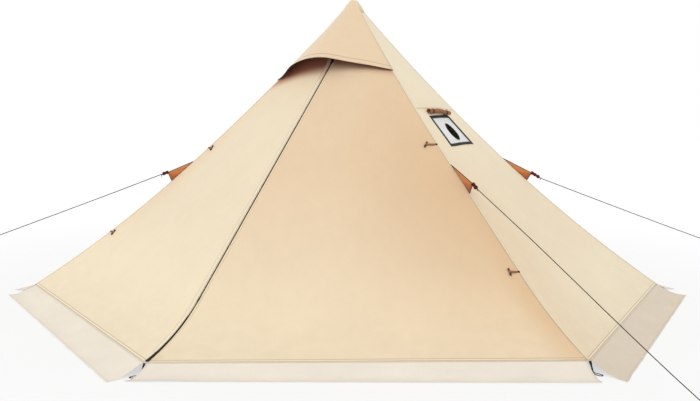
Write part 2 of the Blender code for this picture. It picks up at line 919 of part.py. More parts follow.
# Guy-out tabs and lines
def tab_tip(ridge_name):
    """Middle of a tab's tip, where its line is tied."""
    tab = tabs[ridge_name]
    share = tab.top_share + (tab.bottom_share - tab.top_share) * tab.tip_share
    return ridge_point(ridge_name, share) + ridge_up(ridge_name, share) * tab_reach


def make_tabs(tab_cloth):
    """Flat fins that stand on the ridges."""
    for ridge_name, tab in tabs.items():
        foot = []
        for step in range(tab_foot_points):
            part = step / (tab_foot_points - 1)
            share = tab.top_share + (tab.bottom_share - tab.top_share) * part
            foot.append(ridge_point(ridge_name, share) + ridge_up(ridge_name, share) * cloth / 2)
        tip = tab_tip(ridge_name)
        along = ridge_along(ridge_name, tab.bottom_share)
        points = foot + [tip + along * tab_tip_half, tip - along * tab_tip_half]
        out = ridge_out(ridge_name)
        side = up.cross(out)
        outline = [(point.dot(out), point.z) for point in points]
        prism(
            "guy_tab_" + ridge_name, outline, side * (-tab_thickness / 2), out, up,
            side * tab_thickness, tab_cloth,
        )


# Each line's own points, as distances from the tent's axis and heights, from
# the knot at its tab to the neck of the loop at its far end
line_routes = {
    "left": (
        (1.3297, 0.8848), (1.42, 0.8515), (1.70, 0.7425), (2.00, 0.6275), (2.30, 0.514),
        (2.60, 0.401),
    ),
    "right": (
        (1.3198, 0.8953), (1.396, 0.852), (1.47, 0.824), (1.75, 0.720), (2.05, 0.610),
        (2.35, 0.5015), (2.66, 0.392),
    ),
    "front_right": (
        (1.3365, 0.9136), (1.385, 0.881), (1.60, 0.768), (1.85, 0.637), (2.15, 0.4735),
        (2.45, 0.309), (2.75, 0.1475), (2.95, 0.0455), (3.04, 0.0026),
    ),
}


def line_curve(ridge_name):
    """Smooth points through a line's own route."""
    route = line_routes[ridge_name]
    knots = [route[0]] + list(route) + [route[-1]]
    points = []
    spans = len(route) - 1
    for step in range(line_points + 1):
        place = step / line_points * spans
        span = min(int(place), spans - 1)
        t = place - span
        p0, p1, p2, p3 = knots[span:span + 4]
        pair = []
        for a, b, c, d in zip(p0, p1, p2, p3):
            pair.append(
                b + (c - a) * t / 2 + (2 * a - 5 * b + 4 * c - d) * t * t / 2
                + (3 * b - a - 3 * c + d) * t ** 3 / 2
            )
        points.append(ridge_out(ridge_name) * pair[0] + up * pair[1])
    return points


def make_line(ridge_name, rope):
    points = line_curve(ridge_name)
    curve = bpy.data.curves.new("guy_line_" + ridge_name, "CURVE")
    curve.dimensions = "3D"
    curve.bevel_depth = line_diameter / 2
    curve.bevel_resolution = 2
    curve.use_fill_caps = True
    spline = curve.splines.new("POLY")
    spline.points.add(len(points) - 1)
    for target, point in zip(spline.points, points):
        target.co = (*point, 1)
    curve.materials.append(rope)
    item = bpy.data.objects.new("guy_line_" + ridge_name, curve)
    bpy.context.collection.objects.link(item)
    return points


def make_end_loop(ridge_name, points, rope):
    """The tied loop that a peg would hold."""
    tail = points[-1]
    ahead = (points[-1] - points[-2]).normalized()
    side = up.cross(ridge_out(ridge_name))
    square = ahead.cross(side)
    if abs(tail.z) < end_loop_length:
        ahead = ridge_out(ridge_name)
        square = up
    bm = bmesh.new()
    half = line_diameter / 2
    centres = []
    for i in range(end_loop_points):
        turn = 2 * math.pi * i / end_loop_points
        run = (1 - math.cos(turn)) / 2
        spread = math.sin(turn) * (end_loop_neck_share + (1 - end_loop_neck_share) * run)
        place = tail + ahead * (gap + half + run * (end_loop_length - 2 * half))
        centres.append(place + side * (spread * end_loop_width / 2))
    rings = []
    for i, centre in enumerate(centres):
        forward = (centres[(i + 1) % end_loop_points] - centres[i - 1]).normalized()
        across = square.cross(forward).normalized()
        ring = []
        for j in range(rope_sides):
            roll = 2 * math.pi * j / rope_sides
            ring.append(bm.verts.new(centre + (across * math.cos(roll) + square * math.sin(roll)) * half))
        rings.append(ring)
    join_rings(bm, rings + rings[:1])
    add("guy_end_loop_" + ridge_name, bm, rope, 60)


# Toggles
def toggle_profile():
    """Half outline of a toggle: a bar with softened ends and a narrow waist."""
    half = toggle_length / 2
    one_side = [
        (0, half), (toggle_radius - toggle_soft, half), (toggle_radius, half - toggle_soft),
        (toggle_radius, toggle_length * toggle_shoulder_share),
        (toggle_waist_radius, toggle_length * toggle_waist_share),
    ]
    return one_side + [(radius, -height) for radius, height in one_side[::-1]]


def make_toggles(wall, from_left, plastic):
    """Two toggles on webbing loops beside a ridge, lying on the leaf they tie back."""
    for place, share in toggle_shares[wall]:
        far, normal = wing(wall, share, toggle_out, from_left)
        near = wing(wall, share, ridge_clear + gap, from_left)[0]
        across = (near - far).normalized()
        along = across.cross(normal).normalized()
        lift = normal * (cloth / 2 + toggle_clear + toggle_radius)
        bar = turned(
            "toggle_%s_%s" % (wall, place), toggle_profile(), far + lift, along, plastic,
            sides=toggle_sides,
        )
        half = toggle_loop_width / 2
        thick = toggle_loop_thickness / 2
        outline = [(0, -half), ((near - far).length, -half), ((near - far).length, half), (0, half)]
        start = far + lift - normal * thick
        guide = prism("toggle_loop_guide", outline, start, across, along, normal * (2 * thick), plastic)
        combine(bar, guide, "UNION")


# Centre pole
def tube_profile(radius, wall, low, high):
    return [(radius, low), (radius, high), (radius - wall, high), (radius - wall, low)]


def make_pole(aluminium, rubber, plastic, webbing, steel):
    origin = Vector((0, 0, 0))
    under_cap = peak_height - cloth - gap
    tube_top = under_cap - tip_flange - gap
    turned(
        "pole_upper_tube",
        tube_profile(upper_tube_radius, tube_wall, upper_tube_bottom, tube_top),
        origin, up, aluminium,
    )
    bore = upper_tube_radius - tube_wall - gap
    turned(
        "pole_tip",
        [(0, tube_top - tip_length), (bore, tube_top - tip_length), (bore, tube_top + gap),
         (upper_tube_radius, tube_top + gap), (upper_tube_radius, under_cap), (0, under_cap)],
        origin, up, rubber,
    )
    cup_inner = upper_tube_radius + gap
    turned(
        "pole_cup",
        [(cup_inner + cup_thickness, under_cap - cup_depth), (cup_inner + cup_thickness, under_cap - gap),
         (cup_inner, under_cap - gap), (cup_inner, under_cap - cup_depth)],
        origin, up, webbing,
    )
    turned(
        "pole_lower_tube",
        tube_profile(lower_tube_radius, tube_wall, foot_floor + gap, lower_tube_top),
        origin, up, aluminium,
    )
    foot_bore = lower_tube_radius + gap
    turned(
        "pole_foot",
        [(0, 0), (foot_radius - foot_floor / 4, 0), (foot_radius, foot_floor / 4),
         (foot_radius, foot_height / 2), (foot_bore + foot_lip, foot_height),
         (foot_bore, foot_height), (foot_bore, foot_floor), (0, foot_floor)],
        origin, up, rubber,
    )
    make_clamp(plastic, steel)


def clamp_pin_place():
    """Centre of the lever's pin, in front of the clamp."""
    return Vector((0, -(clamp_radius + lever_eye_radius + gap * 2), clamp_centre_height()))


def clamp_centre_height():
    return upper_tube_bottom + clamp_height / 4


def make_clamp(plastic, steel):
    """A clamp collar on the upper tube, with a lever on a cross pin."""
    low = upper_tube_bottom - clamp_height / 2
    high = upper_tube_bottom + clamp_height / 2
    step_height = upper_tube_bottom - gap
    outer = upper_tube_radius + gap
    inner = lower_tube_radius + gap
    collar = turned(
        "pole_clamp",
        [(clamp_radius, low), (clamp_radius, high), (outer, high), (outer, step_height),
         (inner, step_height), (inner, low)],
        Vector((0, 0, 0)), up, plastic,
    )
    pin = clamp_pin_place()
    right = Vector((1, 0, 0))
    back = Vector((0, 1, 0))
    eye = lever_eye_radius
    depth_in = -pin.y - upper_tube_radius - 4 * gap
    outline = arc(eye, 1 / 4, 3 / 4) + [(depth_in, -eye), (depth_in, eye)]
    ear_start = lever_width / 2 + gap * 2
    for sign in (-1, 1):
        ear = prism(
            "ear_guide", outline, pin + right * (sign * ear_start), back, up,
            right * (sign * ear_thickness), plastic,
        )
        combine(collar, ear, "UNION")
    reach = ear_start + ear_thickness + pin_overhang
    turned(
        "lever_pin", [(0, -reach), (pin_radius, -reach), (pin_radius, reach), (0, reach)],
        pin, right, steel, sides=pin_sides,
    )
    eye = lever_eye_radius - gap * 2
    outline = arc(eye, 0, 3 / 4) + [
        (-eye, -lever_length), (lever_thickness - eye, -lever_length),
        (lever_thickness - eye, -lever_length / 2), (eye, -eye),
    ]
    lever = prism(
        "clamp_lever", outline, pin - right * (lever_width / 2), back, up, right * lever_width, plastic
    )
    hole = turned(
        "pin_hole", [(0, -2 * reach), (pin_radius + gap, -2 * reach), (pin_radius + gap, 2 * reach),
                     (0, 2 * reach)],
        pin, right, plastic, sides=pin_sides,
    )
    combine(collar, hole, "DIFFERENCE")
    combine(lever, hole, "DIFFERENCE")


# Origins on the joints' axes
leaf_pieces = {
    "front_right": (
        "door_leaf_front", "zip_tape_front", "skirt_front", "toggle_front_upper", "toggle_front_lower",
    ),
    "left": (
        "door_leaf_left", "zip_tape_left", "storm_flap", "skirt_left", "toggle_left_upper",
        "toggle_left_lower",
    ),
}


def place_origin(name, point):
    item = bpy.data.objects[name]
    item.data.transform(Matrix.Translation(-point))
    item.location = point


def place_origins():
    for ridge_name, names in leaf_pieces.items():
        for name in names:
            place_origin(name, ridge_point(ridge_name, 1.0))
    low_share = ridges["front_left"].full_to_share
    place_origin("zip_slider", ridge_point("front_left", low_share))
    place_origin("zip_pull", pull_pivot())
    place_origin("vent_prop", prop_pivot())
    place_origin("clamp_lever", clamp_pin_place())


def build():
    clear_objects()
    canvas = finish("canvas", 0.86, 0.76, 0.58, 0.85)
    skirt_cloth = finish("skirt cloth", 0.78, 0.72, 0.62, 0.8)
    webbing = finish("black webbing", 0.02, 0.018, 0.018, 0.8)
    zip_black = finish("zip", 0.02, 0.015, 0.012, 0.6)
    net = finish("vent net", 0.16, 0.12, 0.10, 0.9)
    heat_cloth = finish("glass cloth", 0.90, 0.90, 0.90, 0.7)
    tab_cloth = finish("tab cloth", 0.62, 0.28, 0.09, 0.8)
    rope = finish("rope", 0.12, 0.12, 0.09, 0.8)
    plastic = finish("black plastic", 0.02, 0.02, 0.02, 0.45)
    aluminium = finish("aluminium", 0.75, 0.76, 0.78, 0.35, 1.0)
    steel = finish("steel", 0.55, 0.56, 0.58, 0.3, 1.0)
    rubber = finish("rubber", 0.03, 0.03, 0.03, 0.8)
    make_walls(canvas, net)
    make_cap(canvas)
    make_hood(canvas)
    make_vent_prop(webbing)
    make_zip(zip_black, canvas)
    make_slider(zip_black)
    make_skirts(skirt_cloth)
    make_corner_loops(webbing)
    make_jack(heat_cloth, webbing, tab_cloth)
    make_tabs(tab_cloth)
    for ridge_name in line_routes:
        points = make_line(ridge_name, rope)
        make_end_loop(ridge_name, points, rope)
    make_toggles("front", False, plastic)
    make_toggles("left", True, plastic)
    make_pole(aluminium, rubber, plastic, webbing, steel)
    place_origins()


build()
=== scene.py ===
import json
import math
from collections import namedtuple
from functools import lru_cache

import bpy
from mathutils import Matrix, Vector, noise


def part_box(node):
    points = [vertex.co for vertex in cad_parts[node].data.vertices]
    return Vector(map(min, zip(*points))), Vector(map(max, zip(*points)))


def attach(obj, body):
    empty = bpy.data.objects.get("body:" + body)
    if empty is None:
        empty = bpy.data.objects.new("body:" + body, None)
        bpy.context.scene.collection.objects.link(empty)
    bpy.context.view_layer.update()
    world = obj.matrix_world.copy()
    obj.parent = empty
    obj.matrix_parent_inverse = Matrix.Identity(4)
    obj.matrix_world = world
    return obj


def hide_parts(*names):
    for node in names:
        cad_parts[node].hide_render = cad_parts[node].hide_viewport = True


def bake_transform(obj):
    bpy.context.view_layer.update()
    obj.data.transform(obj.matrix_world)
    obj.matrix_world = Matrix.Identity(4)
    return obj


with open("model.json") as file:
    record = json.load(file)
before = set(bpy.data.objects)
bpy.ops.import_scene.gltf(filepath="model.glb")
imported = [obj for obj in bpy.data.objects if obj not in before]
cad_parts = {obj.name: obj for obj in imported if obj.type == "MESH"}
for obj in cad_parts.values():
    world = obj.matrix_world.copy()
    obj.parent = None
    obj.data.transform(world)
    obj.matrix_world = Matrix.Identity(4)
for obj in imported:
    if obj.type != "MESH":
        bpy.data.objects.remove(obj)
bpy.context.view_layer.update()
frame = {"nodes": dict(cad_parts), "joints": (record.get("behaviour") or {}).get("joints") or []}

# The pitched tent, as in the part's source: shares run from the peak (0) to the hem (1), lengths are metres
up = Vector((0, 0, 1))
corner_radius = 2.3
peak_height = 2.12
hem_height = 0.06
wall_bulge = 0.02
wall_drop = peak_height - hem_height
Ridge = namedtuple("Ridge", "azimuth hang full_from full_to")
ridges = {
    "right": Ridge(0, 0.098, 0.53, 0.53),
    "back_right": Ridge(60, 0.095, 0.55, 0.55),
    "back_left": Ridge(120, 0.095, 0.55, 0.55),
    "left": Ridge(180, 0.098, 0.58, 0.58),
    "front_left": Ridge(240, 0.125, 0.14, 0.84),
    "front_right": Ridge(300, 0.072, 0.50, 0.80),
}
walls = {
    "back_right": ("right", "back_right"),
    "back": ("back_right", "back_left"),
    "back_left": ("back_left", "left"),
    "left": ("left", "front_left"),
    "front": ("front_left", "front_right"),
    "right": ("front_right", "right"),
}
leaf_of = {"front": "front_leaf", "left": "left_leaf"}
apothem = corner_radius * math.cos(math.pi / len(walls))
ridge_length = math.hypot(corner_radius, wall_drop)
slant = math.hypot(apothem, wall_drop)
probe = 0.0005
cap_share = 0.03
vent_top_share, vent_wide_share, vent_reach = 0.10, 0.135, 0.050
prop_share = 0.171
zip_top_share = 0.15
bend_from_share, bend_to_share = 0.245, 0.312
jack_top_share, jack_bottom_share = 0.373, 0.459
jack_left_share, jack_right_share = 0.207, 0.598


def between(low, high, share):
    return low + (high - low) * share


def mixed(first, second, part):
    return tuple(between(a, b, part) for a, b in zip(first, second))


def progress(low, high, value):
    """0 before low, 1 after high, even between them."""
    return min(1.0, max(0.0, (value - low) / (high - low)))


def ramp(low, high, value):
    """0 before low, 1 after high, smooth between them."""
    part = progress(low, high, value)
    return part * part * (3 - 2 * part)


def arch(part):
    """0 at 0 and 1, 1 halfway."""
    return math.sin(math.pi * part)


def hump(low, high, value):
    """0 outside low and high, 1 in the middle."""
    return arch(progress(low, high, value)) ** 2


def bell(value, centre, width):
    return math.exp(-(((value - centre) / width) ** 2))


def rough(*place):
    return noise.noise(Vector(place))


def swung(first, second, angle):
    """The first way, turned by an angle towards the second."""
    return first * math.cos(angle) + second * math.sin(angle)


def outward(azimuth):
    angle = math.radians(azimuth)
    return Vector((math.cos(angle), math.sin(angle), 0))


@lru_cache(maxsize=None)
def ridge_point(name, share):
    """A point on a ridge: the straight line to the corner, hung in a little."""
    ridge = ridges[name]
    out = outward(ridge.azimuth)
    foot = out * corner_radius + up * hem_height
    inward = -(out * wall_drop + up * corner_radius).normalized()
    depth = 1.0
    if share < ridge.full_from:
        depth = 1 - ((ridge.full_from - share) / ridge.full_from) ** 2
    elif share > ridge.full_to:
        depth = 1 - ((share - ridge.full_to) / (1 - ridge.full_to)) ** 2
    return (up * peak_height).lerp(foot, share) + inward * (ridge.hang * depth)


@lru_cache(maxsize=None)
def ridge_along(name, share):
    return (ridge_point(name, share + probe) - ridge_point(name, share - probe)).normalized()


@lru_cache(maxsize=None)
def ridge_up(name, share):
    along, out = ridge_along(name, share), outward(ridges[name].azimuth)
    return (out - along * out.dot(along)).normalized()


def above_ridge(name, share, height):
    return ridge_point(name, share) + ridge_up(name, share) * height


def ridge_side(name):
    """The level way across a ridge, towards growing azimuths."""
    return up.cross(outward(ridges[name].azimuth))


def wall_width(wall, share):
    left, right = walls[wall]
    return (ridge_point(right, share) - ridge_point(left, share)).length


def wall_azimuth(wall):
    left, right = walls[wall]
    return ridges[left].azimuth + (ridges[right].azimuth - ridges[left].azimuth) % 360 / 2


@lru_cache(maxsize=None)
def wall_lean(wall):
    return (outward(wall_azimuth(wall)) * wall_drop + up * apothem).normalized()


def relief(wall, share, across):
    """How far stretched cloth stands off its plain surface: broad waves, falling folds and corner pulls."""
    width = wall_width(wall, share)
    edge = min(across, 1 - across) * width
    foot = (1 - share) * slant
    quiet = ramp(0, 0.16, edge) * ramp(0.0, 0.10, foot) * ramp(0.02, 0.2, share)
    place = Vector(((across - 0.5) * width, share * slant, wall_azimuth(wall) / 10))
    broad = noise.noise(place * 1.5) * 0.008 + noise.noise(place * 4.1) * 0.003
    fall = rough(place.x * 7, place.y * 0.9, place.z) * 0.0022
    pull = 0.0
    for side in (0, 1):
        away = Vector((abs(across - side) * width, foot))
        turn = math.atan2(away.y, away.x + 1e-6)
        fan = math.sin(turn * 15 + side * 2) * 0.0045
        pull += fan * bell(away.length, 0, 0.55) * ramp(0.04, 0.3, away.length)
    return (broad + fall + pull) * quiet


def plain_point(wall, share, across):
    left, right = walls[wall]
    flat = ridge_point(left, share).lerp(ridge_point(right, share), across)
    return flat + wall_lean(wall) * (wall_bulge * arch(across) ** 2 * arch(share) ** 2)


def cloth_point(wall, share, across):
    return plain_point(wall, share, across) + wall_lean(wall) * relief(wall, share, across)


@lru_cache(maxsize=None)
def wall_normal(wall, share, across):
    down = plain_point(wall, share + probe, across) - plain_point(wall, share - probe, across)
    side = plain_point(wall, share, across + probe) - plain_point(wall, share, across - probe)
    return down.cross(side).normalized()


def lifted(wall, share, across, lift):
    """A point at a height over the cloth of a wall."""
    return cloth_point(wall, share, across) + wall_normal(wall, share, across) * lift


def across_at(wall, share, distance, from_left):
    """The share across a wall of a point at a distance from one of its ridges."""
    part = distance / wall_width(wall, share)
    return part if from_left else 1 - part


def inset_across(wall, share, part, inset):
    """The share across a wall of a part of what lies between two insets."""
    edge = inset / wall_width(wall, share)
    return edge + (1 - 2 * edge) * part


def spread(low, high, count):
    return [low + (high - low) * i / count for i in range(count + 1)]


def gathered(count, pull=0.55):
    """Shares from 0 to 1 that lie closer together at both ends."""
    return [i / count - pull * math.sin(2 * math.pi * i / count) / (2 * math.pi) for i in range(count + 1)]


def divided(stops, counts):
    """Values between stops, each span cut in its own count."""
    values = [stops[0]]
    for low, high, count in zip(stops, stops[1:], counts):
        values += spread(low, high, count)[1:]
    return values


# Camera at the photograph's place
picture_width, focal_pixels = 700, 881
camera_place = Vector((-0.322, -6.406, 1.372))
yaw, pitch, roll = math.radians(2.75), math.radians(-6.14), math.radians(0.5)


def link(item):
    bpy.context.scene.collection.objects.link(item)
    return item


def make_camera():
    look = Vector((math.sin(yaw) * math.cos(pitch), math.cos(yaw) * math.cos(pitch), math.sin(pitch)))
    side = Vector((math.cos(yaw), -math.sin(yaw), 0))
    head = side.cross(look)
    data = bpy.data.cameras.new("camera")
    data.sensor_width = 36
    data.sensor_fit = "HORIZONTAL"
    data.lens = focal_pixels / picture_width * data.sensor_width
    data.clip_end = 200
    item = link(bpy.data.objects.new("camera", data))
    turn = Matrix((swung(side, head, roll), swung(head, side, -roll), -look)).transposed()
    item.matrix_world = Matrix.Translation(camera_place) @ turn.to_4x4()
    bpy.context.scene.camera = item


make_camera()


# Materials
def linear(colour):
    """Colour shares for a shader from 0 to 255 values."""
    parts = [value / 255 for value in colour]
    return tuple(part / 12.92 if part <= 0.04045 else ((part + 0.055) / 1.055) ** 2.4 for part in parts)


def tinted(tone, factor, extra=0.0):
    return [min(1.0, value * factor + extra) for value in tone]


class Paint:
    """Builds one node material."""

    def __init__(self, name, roughness=0.8, **inputs):
        self.material = bpy.data.materials.new(name)
        self.material.use_nodes = True
        self.tree = self.material.node_tree
        self.shader = self.tree.nodes["Principled BSDF"]
        self.shader.inputs["Roughness"].default_value = roughness
        for key, value in inputs.items():
            self.shader.inputs[key.replace("_", " ")].default_value = value

    def join(self, value, socket):
        if isinstance(value, bpy.types.NodeSocket):
            self.tree.links.new(value, socket)
        else:
            socket.default_value = value

    def node(self, kind, inputs, **settings):
        made = self.tree.nodes.new(kind)
        for key, value in settings.items():
            setattr(made, key, value)
        for key, value in inputs.items():
            self.join(value, made.inputs[key])
        return made

    def math(self, operation, *values, clamp=False):
        made = self.node("ShaderNodeMath", dict(enumerate(values)), operation=operation, use_clamp=clamp)
        return made.outputs[0]

    def rgba(self, value):
        return value if isinstance(value, bpy.types.NodeSocket) else (*value, 1)

    def mix(self, factor, first, second):
        inputs = {0: factor, 6: self.rgba(first), 7: self.rgba(second)}
        return self.node("ShaderNodeMix", inputs, data_type="RGBA").outputs[2]

    def scaled(self, colour, factor):
        made = self.node("ShaderNodeVectorMath", {0: colour, "Scale": factor}, operation="SCALE")
        return made.outputs[0]

    def sum(self, *pairs):
        """Adds up values, each times its own number."""
        total = 0.0
        for value, factor in pairs:
            total = self.math("MULTIPLY_ADD", value, factor, total)
        return total

    def cloth_places(self):
        """Metres across and along the piece."""
        source = self.node("ShaderNodeUVMap", {}, uv_map="cloth")
        parts = self.node("ShaderNodeSeparateXYZ", {0: source.outputs[0]})
        return parts.outputs[0], parts.outputs[1]

    def solid_place(self):
        return self.tree.nodes.new("ShaderNodeTexCoord").outputs["Object"]

    def grain(self, place, scale, detail):
        made = self.node("ShaderNodeTexNoise", {"Vector": place, "Scale": scale, "Detail": detail})
        return made.outputs[0]

    def noise(self, x, y, x_scale, y_scale, detail=2.0):
        place = self.node("ShaderNodeCombineXYZ", {
            0: self.math("MULTIPLY", x, x_scale), 1: self.math("MULTIPLY", y, y_scale)})
        return self.grain(place.outputs[0], 1.0, detail)

    def wave(self, value, length):
        return self.math("SINE", self.math("MULTIPLY", value, 2 * math.pi / length))

    def weave(self, x, y, pitch):
        crossing = self.math("MULTIPLY", self.wave(x, pitch), self.wave(y, pitch))
        return self.math("MULTIPLY_ADD", crossing, 0.5, 0.5)

    def near(self, value, centre, half):
        """1 at the centre of a line and 0 beyond half its width."""
        away = self.math("ABSOLUTE", self.math("SUBTRACT", value, centre))
        return self.math("SUBTRACT", 1.0, self.math("DIVIDE", away, half), clamp=True)

    def stitches(self, x, y, lines, half=0.0011, pitch=0.0052):
        """Rows of stitches at the distances in lines, and the dimples that they pull."""
        groove, *others = [self.near(x, centre, half * 2.4) for centre in lines]
        for other in others:
            groove = self.math("MAXIMUM", groove, other)
        dash = self.math("MULTIPLY_ADD", self.wave(y, pitch), 1.5, 0.75, clamp=True)
        return self.math("MULTIPLY", self.math("POWER", groove, 2.0), dash), groove

    def finish(self, colour, height):
        """Sets the colour, and turns a height in metres into a bump."""
        self.join(self.rgba(colour), self.shader.inputs["Base Color"])
        made = self.node("ShaderNodeBump", {"Height": height, "Distance": 1.0, "Strength": 1.0})
        self.join(made.outputs[0], self.shader.inputs["Normal"])
        return self.material


# Cream is the cloth's own colour; the second colour paints warm light glowing through the cloth and the third
# paints shade.
cream, glow_peach, shade_tan = linear((242, 229, 199)), linear((239, 213, 180)), linear((225, 192, 152))
# The colour of the painted shade on the cloth under the hood.
hood_shade = linear((164, 82, 36))
soil = linear((196, 172, 138))
# Stitch and seam thread colours, which also paint the shade in the stitches' grooves.
stitch_brown, seam_brown = linear((176, 140, 100)), linear((132, 104, 76))
# The third tab colour paints the shade in a fold across the tab.
tab_light, tab_deep, tab_fold_shade = linear((212, 138, 78)), linear((168, 84, 40)), linear((128, 58, 30))
stain_height = 0.34


def canvas_material(name, lines=(), stain=False, plain=None, pitch=0.0011, thread=stitch_brown, sheen=0.15,
                    groove_shade=0.38, half=0.0011):
    """Woven cotton blend: threads, slubs, soft creases and rows of stitches, with painted shade in the
    stitches' grooves.
    """
    paint = Paint(name, 0.86, Sheen_Weight=sheen, Sheen_Roughness=0.6, Specular_IOR_Level=0.25)
    x, y = paint.cloth_places()
    weave = paint.weave(x, y, pitch)
    warp = paint.noise(x, y, 520.0, 14.0)
    weft = paint.noise(x, y, 16.0, 480.0)
    mottle = paint.noise(x, y, 3.0, 2.2, 3.0)
    crease = paint.noise(x, y, 17.0, 9.0, 3.0)
    if plain is None:
        base = paint.node("ShaderNodeAttribute", {}, attribute_name="paint").outputs["Color"]
    else:
        base = paint.mix(mottle, tinted(plain, 0.93), tinted(plain, 1.05))
    shades = ((weave, 0.05), (warp, 0.08), (weft, 0.08), (mottle, 0.07), (crease, 0.05))
    level = 1 - sum(factor for value, factor in shades) / 2
    base = paint.scaled(base, paint.math("ADD", paint.sum(*shades), level))
    tall = paint.sum((weave, 0.00010), (warp, 0.00022), (weft, 0.00022), (crease, 0.0016))
    if stain:
        grime = paint.noise(x, y, 9.0, 14.0, 4.0)
        place = paint.node("ShaderNodeSeparateXYZ", {0: paint.solid_place()}).outputs[2]
        low = paint.math("SUBTRACT", 1.0, paint.math("DIVIDE", place, stain_height), clamp=True)
        base = paint.mix(paint.math("MULTIPLY", paint.math("MULTIPLY", low, grime), 0.34), base, soil)
    if lines:
        mark, groove = paint.stitches(x, y, lines, half)
        # Painted shade: the groove beside each row of stitches is darkened towards the thread's colour.
        base = paint.mix(paint.math("MULTIPLY", groove, groove_shade), base, thread)
        base = paint.mix(paint.math("MULTIPLY", mark, 0.6), base, thread)
        tall = paint.math("MULTIPLY_ADD", groove, -0.0006, tall)
        tall = paint.math("MULTIPLY_ADD", mark, 0.0005, tall)
    return paint.finish(base, tall)


def webbing_material(name, tone, lines=(), rib=0.0022):
    """Narrow woven tape with slanting ribs and stitches near its edges."""
    paint = Paint(name, 0.78, Sheen_Weight=0.04, Specular_IOR_Level=0.2)
    x, y = paint.cloth_places()
    ribs = paint.wave(paint.math("ADD", paint.math("ABSOLUTE", x), y), rib)
    fuzz = paint.noise(x, y, 900.0, 300.0)
    wear = paint.noise(x, y, 30.0, 22.0, 4.0)
    bright = paint.sum((ribs, 0.10), (fuzz, 0.35), (wear, 0.30))
    base = paint.mix(bright, tinted(tone, 0.6), tinted(tone, 2.0, 0.01))
    tall = paint.sum((ribs, 0.00018), (fuzz, 0.0002))
    if lines:
        mark, groove = paint.stitches(x, y, lines, half=0.0008, pitch=0.004)
        base = paint.mix(mark, base, tinted(tone, 2.6, 0.02))
        tall = paint.math("MULTIPLY_ADD", groove, -0.0004, tall)
    return paint.finish(base, tall)


def rope_material(name, tone, fleck, strand=0.0034, around=0.0042):
    """Braided cord: slanting strands, with flecks of a lighter thread."""
    paint = Paint(name, 0.8, Sheen_Weight=0.04, Specular_IOR_Level=0.2)
    x, y = paint.cloth_places()
    slopes = [paint.sum((y, 1.0), (x, slope)) for slope in (strand / around, -strand / around)]
    braid = paint.math("MAXIMUM", *[paint.wave(slope, strand) for slope in slopes])
    mark = paint.math("GREATER_THAN", paint.noise(x, y, 260.0, 420.0), 0.62)
    base = paint.mix(braid, tinted(tone, 0.55), tone)
    base = paint.mix(paint.math("MULTIPLY", mark, 0.75), base, fleck)
    return paint.finish(base, paint.sum((braid, 0.00035)))


def hard_material(name, tone, roughness, metallic=0.0, grain=220.0, drawn=1.0, scuff=0.25):
    """Plastic, rubber or metal with grain, scuffs and an uneven gloss."""
    paint = Paint(name, roughness, Metallic=metallic)
    place = paint.node("ShaderNodeVectorMath", {0: paint.solid_place(), 1: (1, 1, drawn)},
                       operation="MULTIPLY").outputs[0]
    fine = paint.grain(place, grain, 3.0)
    wide = paint.grain(place, grain / 12, 4.0)
    gloss = paint.math("ADD", paint.math("MULTIPLY", wide, scuff), roughness - scuff / 2, clamp=True)
    paint.join(gloss, paint.shader.inputs["Roughness"])
    base = paint.mix(paint.sum((fine, 0.4), (wide, 0.6)), tinted(tone, 0.75), tinted(tone, 1.25))
    return paint.finish(base, paint.sum((fine, 0.00006), (wide, 0.0001)))


def net_material():
    """Fine knitted net: dark threads round small eyes, which are painted near black for the shade seen
    through them.
    """
    paint = Paint("vent_net", 0.75)
    eye = paint.weave(*paint.cloth_places(), 0.0036)
    hole = paint.math("GREATER_THAN", eye, 0.72)
    base = paint.mix(hole, linear((58, 52, 44)), linear((14, 12, 10)))
    return paint.finish(base, paint.sum((eye, -0.0005)))


def glass_material():
    """Coated glass cloth: a satin weave, pale grey, with soft heat marks."""
    paint = Paint("glass_cloth", 0.5, Coat_Weight=0.12)
    x, y = paint.cloth_places()
    weave = paint.weave(x, y, 0.0024)
    diagonal = paint.wave(paint.math("ADD", x, y), 0.0062)
    mottle = paint.noise(x, y, 12.0, 12.0, 4.0)
    base = paint.mix(mottle, linear((214, 215, 213)), linear((240, 241, 240)))
    base = paint.scaled(base, paint.math("ADD", paint.sum((weave, 0.08), (diagonal, 0.03)), 0.99))
    return paint.finish(base, paint.sum((weave, 0.0002), (diagonal, 0.0001), (mottle, 0.0012)))


canvas = canvas_material("canvas", stain=True)
# The seams over the ridges get deep painted shade in their grooves, for the shadow of their folded edges.
seam_canvas = canvas_material("canvas_seam", (-0.0062, 0.0088), thread=seam_brown, groove_shade=0.75, half=0.0013)
hem_canvas = canvas_material("canvas_hem", (0.005, 0.019), thread=linear((104, 74, 50)), groove_shade=0.5,
                             half=0.0014)
zip_hem_canvas = canvas_material("canvas_zip_hem", (0.0145,))
flap_canvas = canvas_material("canvas_flap", (0.013, 0.042), thread=seam_brown, groove_shade=0.5, half=0.0013)
hood_canvas = canvas_material("canvas_hood", (0.040,), thread=seam_brown, groove_shade=0.6, half=0.0016)
# The hood's inside is painted dark red-brown for the shade under the hood.
hood_lining_shade = canvas_material("hood_lining_shade", plain=linear((136, 70, 42)), pitch=0.0013, sheen=0.02)
peak_canvas = canvas_material("canvas_peak", (0.0, 0.06, 0.12, 0.18, 0.24, 0.30, 0.36), groove_shade=0.2)
cross_canvas = canvas_material("canvas_cross", (-0.004, 0.004))
patch_canvas = canvas_material("canvas_patch", (0.010,))
tab_canvas = canvas_material("tab_canvas", (0.010,), pitch=0.0013, thread=linear((120, 62, 28)))
roll_canvas = canvas_material("roll_canvas", plain=linear((158, 104, 66)), pitch=0.0012, sheen=0.05)
